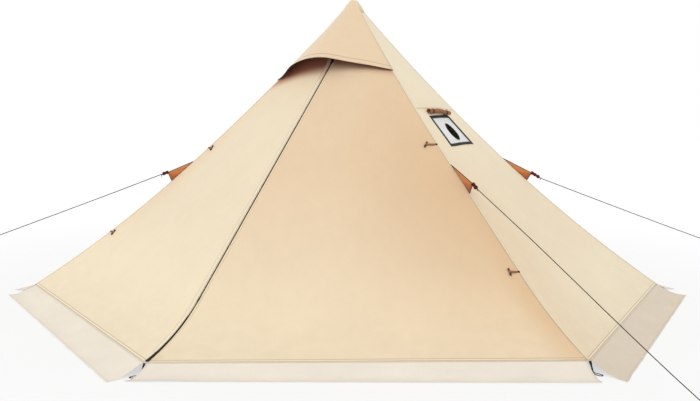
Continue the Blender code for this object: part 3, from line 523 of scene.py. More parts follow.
# The left skirt is painted lighter and the right skirt darker than the others: painted light and painted
# shade on copies of one cloth.
skirt_cloths = {}
for wall, name, plain, thread in ((None, "skirt", (236, 226, 211), (190, 176, 156)),
                                  ("left", "skirt_left", (240, 230, 214), (190, 176, 156)),
                                  ("right", "skirt_right", (222, 208, 188), (176, 160, 138))):
    skirt_cloths[wall] = canvas_material(name, (0.012,), plain=linear(plain), pitch=0.0016,
                                         thread=linear(thread), sheen=0.05)
black_web = webbing_material("webbing_black", (0.013, 0.009, 0.007), (-0.008, 0.008))
brown_bind = webbing_material("binding_brown", linear((64, 32, 20)))
loop_web = webbing_material("webbing_sand", linear((150, 100, 62)), (-0.0045, 0.0045))
jack_web = webbing_material("jack_binding", (0.014, 0.012, 0.012), (-0.008, 0.008))
zip_black = webbing_material("zip_tape", (0.011, 0.007, 0.005), rib=0.0014)
guy_rope = rope_material("guy_rope", linear((44, 39, 31)), linear((120, 108, 84)))
knot_rope = rope_material("knot_rope", linear((100, 30, 28)), linear((130, 60, 48)))
net_black = net_material()
glass_white = glass_material()
coil_black = hard_material("zip_coil", (0.012, 0.010, 0.009), 0.55)
plastic_black = hard_material("plastic_black", (0.016, 0.015, 0.014), 0.42)
plastic_pink = hard_material("plastic_blush", linear((206, 158, 132)), 0.45)
slider_enamel = hard_material("slider_enamel", (0.030, 0.030, 0.032), 0.34, metallic=0.6, grain=900.0,
                              scuff=0.3)
pole_metal = hard_material("pole_aluminium", (0.70, 0.70, 0.71), 0.32, metallic=1.0, drawn=0.05)
pin_metal = hard_material("pin_steel", (0.55, 0.55, 0.56), 0.28, metallic=1.0)
foot_rubber = hard_material("rubber", (0.020, 0.019, 0.018), 0.72, grain=300.0)


# Piece builders
def settle(item, slot, body="tent", *nodes):
    """Puts a piece on the body it rides on and hides the nodes that it replaces; its slot is not used."""
    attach(item, body)
    if nodes:
        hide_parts(*nodes)
    return item


def lengths_along(points):
    """The distance along the points from the first to each."""
    lengths = [0.0]
    for first, second in zip(points, points[1:]):
        lengths.append(lengths[-1] + (second - first).length)
    return lengths


def mesh_piece(name, verts, faces, materials, places=None, tones=None, smooth=True):
    """An object from points and faces; places are metres across and along for each point."""
    mesh = bpy.data.meshes.new(name)
    mesh.from_pydata([tuple(point) for point in verts], [], faces)
    if places:
        layer = mesh.uv_layers.new(name="cloth")
        layer.data.foreach_set("uv", [part for loop in mesh.loops for part in places[loop.vertex_index]])
    if tones:
        layer = mesh.attributes.new("paint", "FLOAT_COLOR", "POINT")
        layer.data.foreach_set("color", [part for tone in tones for part in (*tone, 1)])
    if smooth:
        mesh.shade_smooth()
    for material in materials:
        mesh.materials.append(material)
    return link(bpy.data.objects.new(name, mesh))


def grid_piece(name, points, places, *materials, tones=None, left_out=(), thickness=0.0012):
    """A sheet from rows of points, facing out, with its own thickness; a second material is its inside."""
    rows, columns = len(points), len(points[0])
    faces = []
    for r in range(rows - 1):
        for c in range(columns - 1):
            if (r, c) not in left_out:
                first = r * columns + c
                faces.append((first, first + columns, first + columns + 1, first + 1))
    used = sorted({index for face in faces for index in face})
    place_of = {old: new for new, old in enumerate(used)}

    def kept(table):
        flat = [value for row in table for value in row]
        return [flat[index] for index in used]

    faces = [tuple(place_of[index] for index in face) for face in faces]
    item = mesh_piece(name, kept(points), faces, materials, kept(places), kept(tones) if tones else None)
    weld = item.modifiers.new("weld", "WELD")
    weld.merge_threshold = 0.00001
    step = item.modifiers.new("thickness", "SOLIDIFY")
    step.thickness = thickness
    step.offset = 0
    step.material_offset = len(materials) - 1
    return item


def sheet_piece(name, rows, columns, point, place, material, tone=None, **settings):
    """A sheet whose points, places and tones are functions of a row's and a column's value."""
    tables = [[[value(row, column) for column in columns] for row in rows] for value in (point, place)]
    tones = [[tone(row, column) for column in columns] for row in rows] if tone else None
    return grid_piece(name, *tables, material, tones=tones, **settings)


def tube_piece(name, points, radius, material, sides=8, closed=False, normal=None):
    """A round cord through the points, with its length along its own place map."""
    verts, places, faces = [], [], []
    count = len(points)
    for i, (point, length) in enumerate(zip(points, lengths_along(points))):
        ahead = points[(i + 1) % count] if closed or i + 1 < count else point
        behind = points[i - 1] if closed or i else point
        forward = (ahead - behind).normalized()
        if normal is None:
            normal = forward.orthogonal()
        normal = (normal - forward * normal.dot(forward)).normalized()
        side = forward.cross(normal)
        size = radius(i / (count - 1)) if callable(radius) else radius
        for j in range(sides):
            angle = 2 * math.pi * j / sides
            verts.append(point + swung(normal, side, angle) * size)
            places.append((size * angle, length))
    for i in range(count if closed else count - 1):
        for j in range(sides):
            k = (j + 1) % sides
            low, high = i * sides, (i + 1) % count * sides
            faces.append((low + j, low + k, high + k, high + j))
    if not closed:
        faces.append(tuple(range(sides))[::-1])
        faces.append(tuple(range((count - 1) * sides, count * sides)))
    return mesh_piece(name, verts, faces, [material], places)


def ribbon_piece(name, centres, sides, normals, halves, thickness, material, crown=0.0, columns=5):
    """A flat tape along centres; its sides, normals and half widths are one for all or a list."""
    points, places = [], []
    parts = spread(-1, 1, columns - 1)
    lists = [value if isinstance(value, list) else [value] * len(centres)
             for value in (sides, normals, halves)]
    for centre, length, side, normal, half in zip(centres, lengths_along(centres), *lists):
        points.append([centre + side * (half * part) + normal * (crown * (1 - part * part))
                       for part in parts])
        places.append([(half * part, length) for part in parts])
    return grid_piece(name, points, places, material, thickness=thickness)


def mirrored(half):
    """A whole profile of (radius, distance) pairs from its lower half."""
    return half + [(radius, -height) for radius, height in half[::-1] if height]


def turned_piece(name, centre, axis, profile, material, sides=20):
    """A round solid from (radius, distance) pairs along an axis."""
    turn = axis.to_track_quat("Z", "Y").to_matrix()
    verts, faces, places, rings = [], [], [], []
    for radius, height in profile:
        rings.append([len(verts) + i for i in range(sides if radius else 1)])
        for i in range(len(rings[-1])):
            angle = 2 * math.pi * i / sides
            verts.append(centre + turn @ Vector((radius * math.cos(angle), radius * math.sin(angle), height)))
            places.append((radius * angle, height))
    for low, high in zip(rings, rings[1:]):
        for i in range(sides):
            j = (i + 1) % sides
            if len(low) == 1:
                faces.append((low[0], high[j], high[i]))
            elif len(high) == 1:
                faces.append((low[i], low[j], high[0]))
            else:
                faces.append((low[i], low[j], high[j], high[i]))
    return mesh_piece(name, verts, faces, [material], places)


def smooth_path(knots, count):
    """Even steps on a curve through the knots."""
    ends = [knots[0]] + list(knots) + [knots[-1]]
    spans = len(knots) - 1
    points = []
    for step in range(count + 1):
        place = step / count * spans
        span = min(int(place), spans - 1)
        t = place - span
        a, b, c, d = ends[span:span + 4]
        points.append(b + (c - a) * (t / 2) + (a * 2 - b * 5 + c * 4 - d) * (t * t / 2)
                      + (b * 3 - a - c * 3 + d) * (t ** 3 / 2))
    return points


def along_path(path, low, high, count):
    """Points on a path between two distances from its start."""
    points, done = [], 0.0
    wanted = spread(low, high, count)
    for first, second in zip(path, path[1:]):
        step = (second - first).length
        while wanted and wanted[0] <= done + step:
            points.append(first.lerp(second, (wanted.pop(0) - done) / step))
        done += step
    return points


def wound_piece(name, path, radius, swell, turns, material, steps=12):
    """Cord wound round a path, fuller in the middle."""
    points = []
    total = turns * steps
    for i in range(total + 1):
        share = i / total
        place = share * (len(path) - 1)
        low = min(int(place), len(path) - 2)
        centre = path[low].lerp(path[low + 1], place - low)
        forward = (path[low + 1] - path[low]).normalized()
        normal = forward.orthogonal().normalized()
        reach = swell * (0.62 + 0.5 * arch(share))
        points.append(centre + swung(normal, forward.cross(normal), 2 * math.pi * turns * share) * reach)
    return tube_piece(name, points, radius, material)


# Guy lines, which come first
rope_half = 0.0025
loop_length, loop_width, loop_neck = 0.078, 0.030, 0.55
tie_start, tie_end, tie_radius, tie_swell, tie_turns = 0.004, 0.030, 0.0020, 0.0052, 4
knot_radius, knot_swell, knot_turns = 0.0042, 0.0085, 3
strand_radius, strand_offset, tail_radius = 0.0024, 0.0036, 0.0026
line_routes = {
    "left": ((1.3297, 0.8848), (1.42, 0.8515), (1.70, 0.7425), (2.00, 0.6275), (2.30, 0.514), (2.60, 0.401)),
    "right": ((1.3198, 0.8953), (1.396, 0.852), (1.47, 0.824), (1.75, 0.720), (2.05, 0.610), (2.35, 0.5015),
              (2.66, 0.392)),
    "front_right": ((1.3365, 0.9136), (1.385, 0.881), (1.60, 0.768), (1.85, 0.637), (2.15, 0.4735),
                    (2.45, 0.309), (2.75, 0.1475), (2.95, 0.0455), (3.04, 0.0026)),
}
knot_runs = {
    "left": ((0.0, 0.020), (0.022, 0.044)),
    "right": ((0.0, 0.020), (0.023, 0.043), (0.047, 0.072)),
    "front_right": ((0.0, 0.020), (0.027, 0.047)),
}


def make_line(ridge):
    """A taut guy line with its knots at the tab and a tied loop at its far end."""
    out = outward(ridges[ridge].azimuth)
    side = up.cross(out)
    path = smooth_path([out * r + up * z for r, z in line_routes[ridge]], 60)
    line = settle(tube_piece("line_" + ridge, path, rope_half, guy_rope, normal=side), "rope", "tent",
                  "guy_line_" + ridge)
    ahead = (path[-1] - path[-2]).normalized()
    if path[-1].z < loop_length:
        ahead = out
    centres = []
    for i in range(40):
        turn = 2 * math.pi * i / 40
        run = (1 - math.cos(turn)) / 2
        place = path[-1] + ahead * (rope_half + run * (loop_length - 2 * rope_half))
        centres.append(place + side * (math.sin(turn) * between(loop_neck, 1, run) * loop_width / 2))
    pieces = [tube_piece("line_loop_" + ridge, centres, rope_half, guy_rope, closed=True, normal=ahead)]
    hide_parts("guy_end_loop_" + ridge)
    pieces.append(wound_piece("line_tie_" + ridge, along_path(path[::-1], tie_start, tie_end, 6),
                              tie_radius, tie_swell, tie_turns, guy_rope))
    for number, (low, high) in enumerate(knot_runs[ridge], 1):
        pieces.append(wound_piece("line_knot_%s_%d" % (ridge, number), along_path(path, low, high, 6),
                                  knot_radius, knot_swell, knot_turns, knot_rope))
    last = knot_runs[ridge][-1][1]
    strand = [point + side * strand_offset for point in along_path(path, 0.002, last, 14)]
    pieces.append(tube_piece("line_strand_" + ridge, strand, strand_radius, knot_rope))
    start = along_path(path, last, last + 0.001, 1)[0]
    droop = [start, start + ahead * 0.007 - up * 0.004, start + ahead * 0.009 - up * 0.016]
    pieces.append(tube_piece("line_tail_" + ridge, smooth_path(droop, 8), tail_radius, knot_rope))
    for piece in pieces:
        settle(piece, "rope")
    round(lengths_along(path)[-1], 3)


for name in line_routes:
    make_line(name)


# Walls
seam_gap = 0.0012
left_zip_gap, front_zip_gap = 0.0050, 0.0038


def wall_tone(wall, share, across, without_hood_shade=False):
    """Colour of the cloth: cream, with a painted warm glow of light through the cloth, painted shade and
    painted light in broad patches, and painted shade under the hood.
    """
    painted_glow, painted_shade, under_hood_shade, bright, painted_dusk = 0.30, 0.0, 0.0, 1.0, 0.0
    if wall == "front":
        # Painted glow over most of the front wall, and painted shade all over it, deeper towards its right
        # ridge, near its top and at its lower left corner.
        painted_glow = 1.0 - ramp(0.45, 1.0, share) * (1 - 0.45 * across)
        painted_shade = 0.16 + 0.74 * ramp(0.25, 1.0, across) * hump(0.10, 1.15, share)
        painted_shade += 0.14 * ramp(0.75, 0.45, share)
        painted_shade += 0.55 * ramp(0.90, 1.0, across) * ramp(0.62, 0.92, share)
        painted_shade += 0.7 * ramp(0.04, 0.0, across) * ramp(0.96, 1.0, share)
        # Painted shade under the hood's rim on the front wall.
        edge = 0.177 + 0.052 * across
        under_hood_shade = 0.45 * ramp(edge + 0.030, edge - 0.006, share)
        under_hood_shade += 0.30 * ramp(edge + 0.008, edge - 0.004, share)
        # Painted shade: the front wall a little darker except near its foot.
        bright = 1 - 0.065 * ramp(0.98, 0.70, share)
    elif wall == "left":
        # Painted glow near the left wall's top and towards its left ridge.
        painted_glow = 0.26 + 0.60 * ramp(0.25, 0.0, across) * hump(0.15, 0.95, share)
        painted_glow += 0.55 * ramp(0.42, 0.15, share)
        # Painted shade under the hood's rim on the left wall.
        edge = 0.253 - 0.078 * across ** 0.8
        under_hood_shade = 0.92 * ramp(edge + 0.046, edge - 0.002, share)
        # Painted light: the left wall lighter towards its foot.
        bright = 0.965 + 0.075 * ramp(0.60, 0.98, share)
    elif wall == "right":
        # Painted glow and painted shade towards the right wall's left ridge.
        painted_glow = 0.10 + 0.35 * ramp(0.35, 0.0, across) * ramp(0.25, 0.55, share)
        painted_shade = 0.16 * ramp(0.55, 0.0, across) * ramp(0.45, 0.75, share)
        # Painted shade in a band across the lower half of the right wall.
        painted_dusk = 0.20 * ramp(0.35, 0.65, share) * ramp(0.95, 0.75, share)
    tone = mixed(mixed(cream, glow_peach, min(1.0, painted_glow)), shade_tan, min(1.0, painted_shade))
    tone = mixed(tinted(tone, bright), shade_tan, painted_dusk)
    return tone if without_hood_shade else mixed(tone, hood_shade, min(1.0, under_hood_shade))


def strip_tone(wall, share, across=0.5, pale=0.12, without_hood_shade=False):
    return mixed(wall_tone(wall, share, across, without_hood_shade), cream, pale)


def vent_inset(share):
    """How far the cloth is cut back from the zip's ridge for the vent."""
    wide = 1 - abs(share - vent_wide_share) / (vent_wide_share - vent_top_share)
    return 0.010 + max(0.0, wide) * vent_reach


def edge_gap(share, zip_gap):
    """How far a wall's cloth ends from its ridge: at the vent, beside the zip or at a plain seam."""
    if zip_gap is None:
        return seam_gap
    return vent_inset(share) if share < prop_share else zip_gap


def bend(item, start, end):
    """Bakes the piece's transform into its points; start and end are not used."""
    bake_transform(item)


def blend_leaf(item, wall):
    """Calls bend on the piece with two points of its wall, at the fixed top and at the leaf."""
    bend(item, plain_point(wall, bend_from_share, 0.5), plain_point(wall, bend_to_share, 0.5))


def make_wall(wall, nodes, rows, columns, left_zip=None, right_zip=None, left_out=()):
    """One wall of cloth; beside a hole the columns keep their places, so that its edge stays straight."""
    points, places, tones = [], [], []
    for share in rows:
        width = wall_width(wall, share)
        low, high = edge_gap(share, left_zip) / width, 1 - edge_gap(share, right_zip) / width
        scaled = [low, *columns[1:-1], high] if left_out else [between(low, high, part) for part in columns]
        points.append([cloth_point(wall, share, a) for a in scaled])
        places.append([((a - 0.5) * width, share * slant) for a in scaled])
        tones.append([wall_tone(wall, share, a) for a in scaled])
    item = grid_piece("cloth_" + wall, points, places, canvas, tones=tones, left_out=left_out)
    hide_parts(*nodes)
    if wall in leaf_of:
        blend_leaf(item, wall)
    else:
        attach(item, "tent")


def make_walls():
    rows = divided((cap_share, vent_top_share, vent_wide_share, prop_share, 0.30, 0.5, 0.90, 1.0),
                   (8, 3, 3, 24, 20, 42, 16))
    columns = gathered(44)
    for wall in ("back_right", "back", "back_left"):
        make_wall(wall, ["wall_" + wall], rows, columns)
    make_wall("front", ["wall_front_top", "door_leaf_front"], rows, columns, left_zip=front_zip_gap)
    make_wall("left", ["wall_left_top", "door_leaf_left"], rows, columns, right_zip=left_zip_gap)
    to_jack, in_jack, left_of_jack, across_jack = 26, 10, 10, 16
    rows = divided((cap_share, vent_top_share, jack_top_share, jack_bottom_share, 0.90, 1.0),
                   (8, to_jack, in_jack, 46, 16))
    columns = divided((0.0, jack_left_share, jack_right_share, 0.82, 1.0), (left_of_jack, across_jack, 8, 10))
    hole = {(8 + to_jack + r, left_of_jack + c) for r in range(in_jack) for c in range(across_jack)}
    make_wall("right", ["wall_right"], rows, columns, left_out=hole)


# Seams that lie over the ridges
seam_offsets = (-0.0090, -0.0075, -0.0055, -0.0030, -0.0012, 0.0, 0.0012, 0.0035, 0.0065, 0.0095, 0.0115)
seam_lift, seam_end_share, seam_split_share = 0.0016, 0.998, 0.268
stitch_pull, stitch_pull_pitch, seam_bend_half = 0.00045, 0.041, 0.009


def ridge_walls(ridge):
    return [next(wall for wall, ends in walls.items() if ends[end] == ridge) for end in (1, 0)]


def ridge_place(share, offset):
    return offset, share * ridge_length


def over_ridge(ridge, share, offset, lift):
    """A point at an offset from a ridge, on the wall to its left or its right."""
    left, right = ridge_walls(ridge)
    wall = left if offset < 0 else right
    across = across_at(wall, share, abs(offset), offset >= 0)
    crest = (wall_normal(left, share, 1 - probe) + wall_normal(right, share, probe)).normalized()
    normal = crest.lerp(wall_normal(wall, share, across), min(1.0, abs(offset) / 0.006)).normalized()
    return cloth_point(wall, share, across) + normal * lift


def seam_strip(name, ridge, low, high, count):
    """Folded tape over a ridge, drawn in a little by its stitches."""
    def point(share, offset):
        edge = 1 - min(1.0, abs(offset) / 0.012)
        pucker = stitch_pull * math.sin(share * ridge_length * 2 * math.pi / stitch_pull_pitch)
        lift = seam_lift * (0.55 + 0.45 * ramp(0, 0.7, edge)) + pucker * edge
        return over_ridge(ridge, share, offset, lift)

    item = sheet_piece(name, spread(low, high, count), seam_offsets, point, ridge_place, seam_canvas,
                       lambda share, offset: strip_tone(ridge_walls(ridge)[1], share), thickness=0.0011)
    return item


def make_seams():
    for ridge in ridges:
        if ridge == "front_left":
            item = seam_strip("seam_front_left", ridge, cap_share, zip_top_share, 24)
            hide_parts("ridge_tape_front_left")
            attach(item, "tent")
        elif ridge in ("front_right", "left"):
            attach(seam_strip("seam_top_" + ridge, ridge, cap_share, seam_split_share, 40), "tent")
            item = seam_strip("seam_" + ridge, ridge, seam_split_share, seam_end_share, 100)
            wall, sign = ("front", -1) if ridge == "front_right" else ("left", 1)
            middle, leaf_side = ridge_point(ridge, 0.6), ridge_side(ridge) * (seam_bend_half * sign)
            bend(item, middle - leaf_side, middle + leaf_side)
        else:
            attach(seam_strip("seam_" + ridge, ridge, cap_share, seam_end_share, 130), "tent")


# Peak
peak_parts = (0.0, 0.25, 0.5, 0.75, 0.92, 1.0, 1.12, 1.35, 1.7, 2.1, 2.6)
peak_radius, peak_foot_share, peak_steps = 0.024, cap_share * 1.28, 6


def make_peak():
    """The patch over the pole's tip: a small flat top and six short slopes."""
    names = list(ridges)

    def point(part, i):
        side, step = divmod(i % (len(names) * peak_steps), peak_steps)
        first, second = names[side], names[(side + 1) % len(names)]
        turn = step / peak_steps
        ends = [outward(ridges[name].azimuth) * peak_radius for name in (first, second)]
        soft = 0.0012 * (1 - min(1.0, part) ** 2)
        flat = ends[0].lerp(ends[1], turn) * min(part, 1.0) + up * (peak_height - 0.0022 + soft)
        if part <= 1.0:
            return flat
        down = (part - 1.0) / (peak_parts[-1] - 1.0)
        low = ridge_point(first, peak_foot_share).lerp(ridge_point(second, peak_foot_share), turn)
        lean = wall_lean(next(wall for wall, ends in walls.items() if ends == (first, second)))
        return flat.lerp(low + lean * 0.0018, down) + lean * (0.006 * arch(down))

    item = sheet_piece("cloth_peak", peak_parts, range(len(names) * peak_steps + 1), point,
                       lambda part, i: (i / peak_steps * 0.06, part * 0.05), peak_canvas,
                       lambda part, i: strip_tone("front", 0.3, 0.1, 0.4, True))
    settle(item, "canvas", "tent", "peak_cap")


# Hood
hood_top_share, hood_left_share, hood_right_share = 0.052, 0.253, 0.229
hood_lip_share, hood_lip_rise, hood_bow = 0.2074, 0.1308, 0.046
hood_raise, hood_knee = 0.0045, 0.20
hood_half, hood_rows, hood_smoothings = 22, 34, 5
hood_bend_gap, hood_bend_part, hood_bend_height = 0.004, 0.52, 1.7


def hood_top(name):
    return outward(ridges[name].azimuth) * 0.020 + up * (peak_height + 0.0006)


def hood_side(name, share, down):
    """A side of the hood: off the flat top, over the peak's patch, then along its ridge."""
    if down >= hood_knee:
        at = hood_top_share + (share - hood_top_share) * (down - hood_knee) / (1 - hood_knee)
        return above_ridge(name, at, hood_raise)
    return hood_top(name).lerp(above_ridge(name, hood_top_share, hood_raise), down / hood_knee)


def hood_row(down):
    """One row across the hood, from its left side over the crest to its right side."""
    left = hood_side("left", hood_left_share, down)
    right = hood_side("front_right", hood_right_share, down)
    crest = hood_top("front_left").lerp(above_ridge("front_left", hood_lip_share, hood_lip_rise), down)
    lean = (ridge_up("left", 0.2) + ridge_up("front_left", 0.2)).normalized()
    line = []
    for part in [c / hood_half for c in range(hood_half + 1)]:
        swell = 4 * part * (1 - part) * ramp(-0.02, 0.42, part)
        line.append(left.lerp(crest, part) + lean * (swell * hood_bow * down))
    line += [crest.lerp(right, c / hood_half - 1) for c in range(hood_half + 1, 2 * hood_half + 1)]
    for turn in range(hood_smoothings):
        kept = list(line)
        for c in range(1, 2 * hood_half):
            even = (kept[c - 1] + kept[c + 1]) / 2
            line[c] = kept[c].lerp(even, 0.9 * bell(c, hood_half, hood_half * 0.30))
    return line


def make_hood():
    columns = range(2 * hood_half + 1)
    crest_tone = strip_tone("front", 0.3, 0.2, 0.10, True)
    points, widths, tones = [], [], []
    for r in range(hood_rows + 1):
        line, row = hood_row(r / hood_rows), []
        for c, point in enumerate(line):
            edge = min(c, 2 * hood_half - c) / hood_half
            wave = rough(point.x * 5, point.y * 5, point.z * 4)
            soft = wave * 0.006 * ramp(0, 0.5, edge) * ramp(0, 0.3, r / hood_rows)
            away = (point - Vector((0, 0, point.z))).normalized()
            row.append(point + (away + up).normalized() * soft)
        points.append(row)
        widths.append(lengths_along(line))
        tones.append([mixed(crest_tone, cream, 0.75 * ramp(1.1, 0.1, c / hood_half)) for c in columns])
    depths = [lengths_along([row[c] for row in points[::-1]])[::-1] for c in columns]
    places = [[(depths[c][r], widths[r][c]) for c in columns] for r in range(hood_rows + 1)]
    item = grid_piece("cloth_hood", points, places, hood_canvas, hood_lining_shade, tones=tones)
    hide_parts("vent_hood")
    rim, above_rim = points[-1], points[-2]
    pairs = zip(rim, above_rim)
    # The rim's binding is real, but its dark colour, set just below the rim, also stands in for the painted
    # shadow line under the hood.
    edge = tube_piece("hood_edge_shadow", [low + (low - high).normalized() * 0.0008 for low, high in pairs], 0.0026,
                      brown_bind)
    way = outward(ridges["front_left"].azimuth)
    near = max(rim[0].dot(way), rim[-1].dot(way)) + hood_bend_gap
    far = near + (rim[hood_half].dot(way) - near) / hood_bend_part
    for piece in (item, edge):
        bend(piece, way * near + up * hood_bend_height, way * far + up * hood_bend_height)


# Zip, flap and net
zip_sides = (("front", True), ("left", False))
tape_strip = ((0.0018, 0.0), (0.0040, -0.0004), (0.0065, -0.0008), (0.0110, -0.0014))
stop_strip = ((0.0006, 0.0020), (0.0008, 0.0030), (0.0022, 0.0034), (0.0042, 0.0030), (0.0044, 0.0016))
hem_strip = ((0.0050, 0.0006), (0.0053, 0.0017), (0.009, 0.0019), (0.014, 0.0019), (0.0182, 0.0014),
             (0.0188, 0.0004))
flap_strip = ((0.0078, 0.0020), (0.0080, 0.0032), (0.013, 0.0034), (0.020, 0.0030), (0.030, 0.0028),
              (0.040, 0.0026), (0.0462, 0.0022), (0.0468, 0.0012))
tooth_pitch, tooth_half, tooth_foot, tooth_middle = 0.0042, 0.0013, 0.0001, 0.002
tooth_shape = ((0.0003, -0.0012), (0.0003, 0.0014), (0.0030, 0.0019), (0.0042, 0.0006), (0.0042, -0.0014))
net_depth = -0.0042
tape_end, coil_end, zip_hem_end, flap_end, stop_start, stop_end = 0.996, 0.992, 0.991, 0.972, 0.875, 0.9965


def side_strip(name, wall, from_left, low, high, profile, material, count=170, thickness=0.0011, tone=True,
               grow=0.0):
    """A strip beside the zip's ridge; its profile is pairs of distance and lift, and it may grow wider."""
    def point(share, pair):
        wider = 1 + grow * ((share - low) / (high - low)) ** 1.6
        return lifted(wall, share, across_at(wall, share, pair[0] * wider, from_left), pair[1])

    item = sheet_piece(name, spread(low, high, count), profile if from_left else profile[::-1], point,
                       lambda share, pair: ridge_place(share, pair[0]), material,
                       (lambda share, pair: strip_tone(wall, share, 0.5, 0.5)) if tone else None,
                       thickness=thickness)
    blend_leaf(item, wall)
    return item


def make_coil(name, wall, from_left, low, high):
    """Small teeth along the inner edge of a zip tape."""
    verts, faces, places = [], [], []
    count = int((high - low) * ridge_length / tooth_pitch)
    corners = len(tooth_shape)
    for i in range(count):
        share = low + (high - low) * (i + 0.5) / count
        across = across_at(wall, share, tooth_middle, from_left)
        middle = cloth_point(wall, share, across_at(wall, share, tooth_foot, from_left))
        way = (cloth_point(wall, share, across) - middle).normalized()
        square = wall_normal(wall, share, across)
        along = way.cross(square)
        first = len(verts)
        for sign in (-1, 1):
            for out, high_up in tooth_shape:
                verts.append(middle + way * out + square * high_up + along * (sign * tooth_half))
                places.append(ridge_place(share, out))
        faces.append(tuple(range(first, first + corners)))
        faces.append(tuple(range(first + corners, first + 2 * corners))[::-1])
        for k in range(corners):
            m = (k + 1) % corners
            faces.append((first + k, first + corners + k, first + corners + m, first + m))
    item = mesh_piece(name, verts, faces, [coil_black], places, smooth=False)
    blend_leaf(item, wall)


def make_zip():
    for wall, from_left in zip_sides:
        item = side_strip("tape_" + wall, wall, from_left, zip_top_share, tape_end, tape_strip, zip_black,
                          tone=False)
        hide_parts("zip_tape_" + wall)
        make_coil("coil_" + wall, wall, from_left, zip_top_share, coil_end)
    hem = side_strip("hem_zip_front", "front", True, zip_top_share, zip_hem_end, hem_strip, zip_hem_canvas,
                     thickness=0.001)
    for wall, from_left in zip_sides:
        stop = side_strip("zip_stop_" + wall, wall, from_left, stop_start, stop_end, stop_strip, black_web,
                          count=50, thickness=0.0014, tone=False, grow=1.9)
    flap = side_strip("flap", "left", False, zip_top_share, flap_end, flap_strip, flap_canvas,
                      thickness=0.0014)
    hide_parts("storm_flap")


def make_net():
    def offset(share, part):
        return (vent_inset(share) + 0.006) * part

    rows = divided((vent_top_share, vent_wide_share, prop_share), (8, 8))
    item = sheet_piece("net", rows, spread(-1, 1, 16),
                       lambda share, part: over_ridge("front_left", share, offset(share, part), net_depth),
                       lambda share, part: ridge_place(share, offset(share, part)), net_black,
                       thickness=0.0008)
    settle(item, "net", "tent", "vent_mesh")


make_peak()
make_walls()
make_seams()
make_hood()
make_zip()
make_net()


# Skirts
Skirt = namedtuple("Skirt", "reach_start reach_end past_start past_end")
skirts = {wall: Skirt(0.20, 0.20, 0.03, 0.03) for wall in walls}
skirts["left"] = Skirt(0.185, 0.205, 0.03, 0.045)
skirts["front"] = Skirt(0.115, 0.185, 0.10, 0.025)
skirts["right"] = Skirt(0.205, 0.215, 0.10, -0.03)
skirt_profile = ((0.0, 1.0), (0.06, 0.93), (0.15, 0.77), (0.3, 0.53), (0.42, 0.33), (0.55, 0.16),
                 (0.64, 0.06), (0.74, 0.0), (0.82, 0.0), (0.90, 0.0), (0.96, 0.0), (1.0, 0.0))
skirt_end_gap, skirt_clear = 0.018, 0.0015
skirt_bend_from, skirt_bend_to = 0.06, 0.30


def skirt_point(wall, share, out_share, height_share):
    """A point of a skirt that hangs from the hem, lies down and spreads past its corners."""
    size = skirts[wall]
    first, last = (ridge_point(name, 1.0) for name in walls[wall])
    out = outward(wall_azimuth(wall))
    place = skirt_end_gap + ((last - first).length - 2 * skirt_end_gap) * share
    slip = -size.past_start * ramp(0.22, 0.0, share) + size.past_end * ramp(0.78, 1.0, share)
    reach = between(size.reach_start, size.reach_end, share)
    along = (last - first).normalized()
    point = first + along * (place + slip * out_share) + out * (skirt_clear + reach * out_share)
    wave = rough(place * 3.3, out_share * 1.2, wall_azimuth(wall) / 7)
    fine = rough(place * 9.0, out_share * 2.0, wall_azimuth(wall) / 5)
    lie = ramp(0.0, 0.3, out_share) * (0.6 + 0.4 * ramp(0, 0.1, min(share, 1 - share)))
    height = between(skirt_clear, hem_height, height_share)
    height += max(0.0, wave * 0.012 + fine * 0.005) * lie + max(0.0, wave) * 0.010 * hump(0.1, 0.9, out_share)
    return Vector((point.x, point.y, height)) + out * (out_share * fine * 0.004)


def make_skirts():
    for wall, size in skirts.items():
        reach = (size.reach_start + size.reach_end) / 2
        item = sheet_piece("skirt_cloth_" + wall, skirt_profile, gathered(64, 0.4),
                           lambda row, share: skirt_point(wall, share, *row),
                           lambda row, share: ((1 - row[0]) * reach, share * corner_radius),
                           skirt_cloths.get(wall, skirt_cloths[None]), thickness=0.0011)
        if wall not in leaf_of:
            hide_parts("skirt_" + wall)
            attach(item, "tent")
            continue
        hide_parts("skirt_" + wall, "skirt_%s_hinge_end" % wall)
        left, right = (ridge_point(name, 1.0) for name in walls[wall])
        hinge, far = (right, left) if wall == "front" else (left, right)
        way = (far - hinge).normalized()
        bend(item, hinge + way * skirt_bend_from, hinge + way * skirt_bend_to)


hem_band = 0.024
hem_profile = ((hem_band, 0.0004), (0.0235, 0.0013), (0.022, 0.0016), (0.015, 0.0016), (0.006, 0.0018),
               (0.0008, 0.0016), (0.0, 0.0004))


def make_hems():
    """The folded hem at the foot of each wall, over the skirt's seam."""
    def point(row, a):
        high, lift = row
        share = 1 - high / slant
        pucker = 0.0005 * math.sin(a * corner_radius * 2 * math.pi / 0.052) * hump(0, hem_band, high)
        return lifted(wall, share, inset_across(wall, share, a, 0.012), lift + pucker)

    for wall in walls:
        item = sheet_piece("hem_" + wall, hem_profile, gathered(70, 0.3), point,
                           lambda row, a: (row[0], a * corner_radius), hem_canvas,
                           lambda row, a: strip_tone(wall, 0.97, a, 0.2), thickness=0.001)
        settle(item, "canvas", leaf_of.get(wall, "tent"))


make_skirts()
make_hems()


# Stove jack
def jack_surface(across_share, down_share, lift=0):
    across = between(jack_left_share, jack_right_share, across_share)
    return lifted("right", between(jack_top_share, jack_bottom_share, down_share), across, lift)


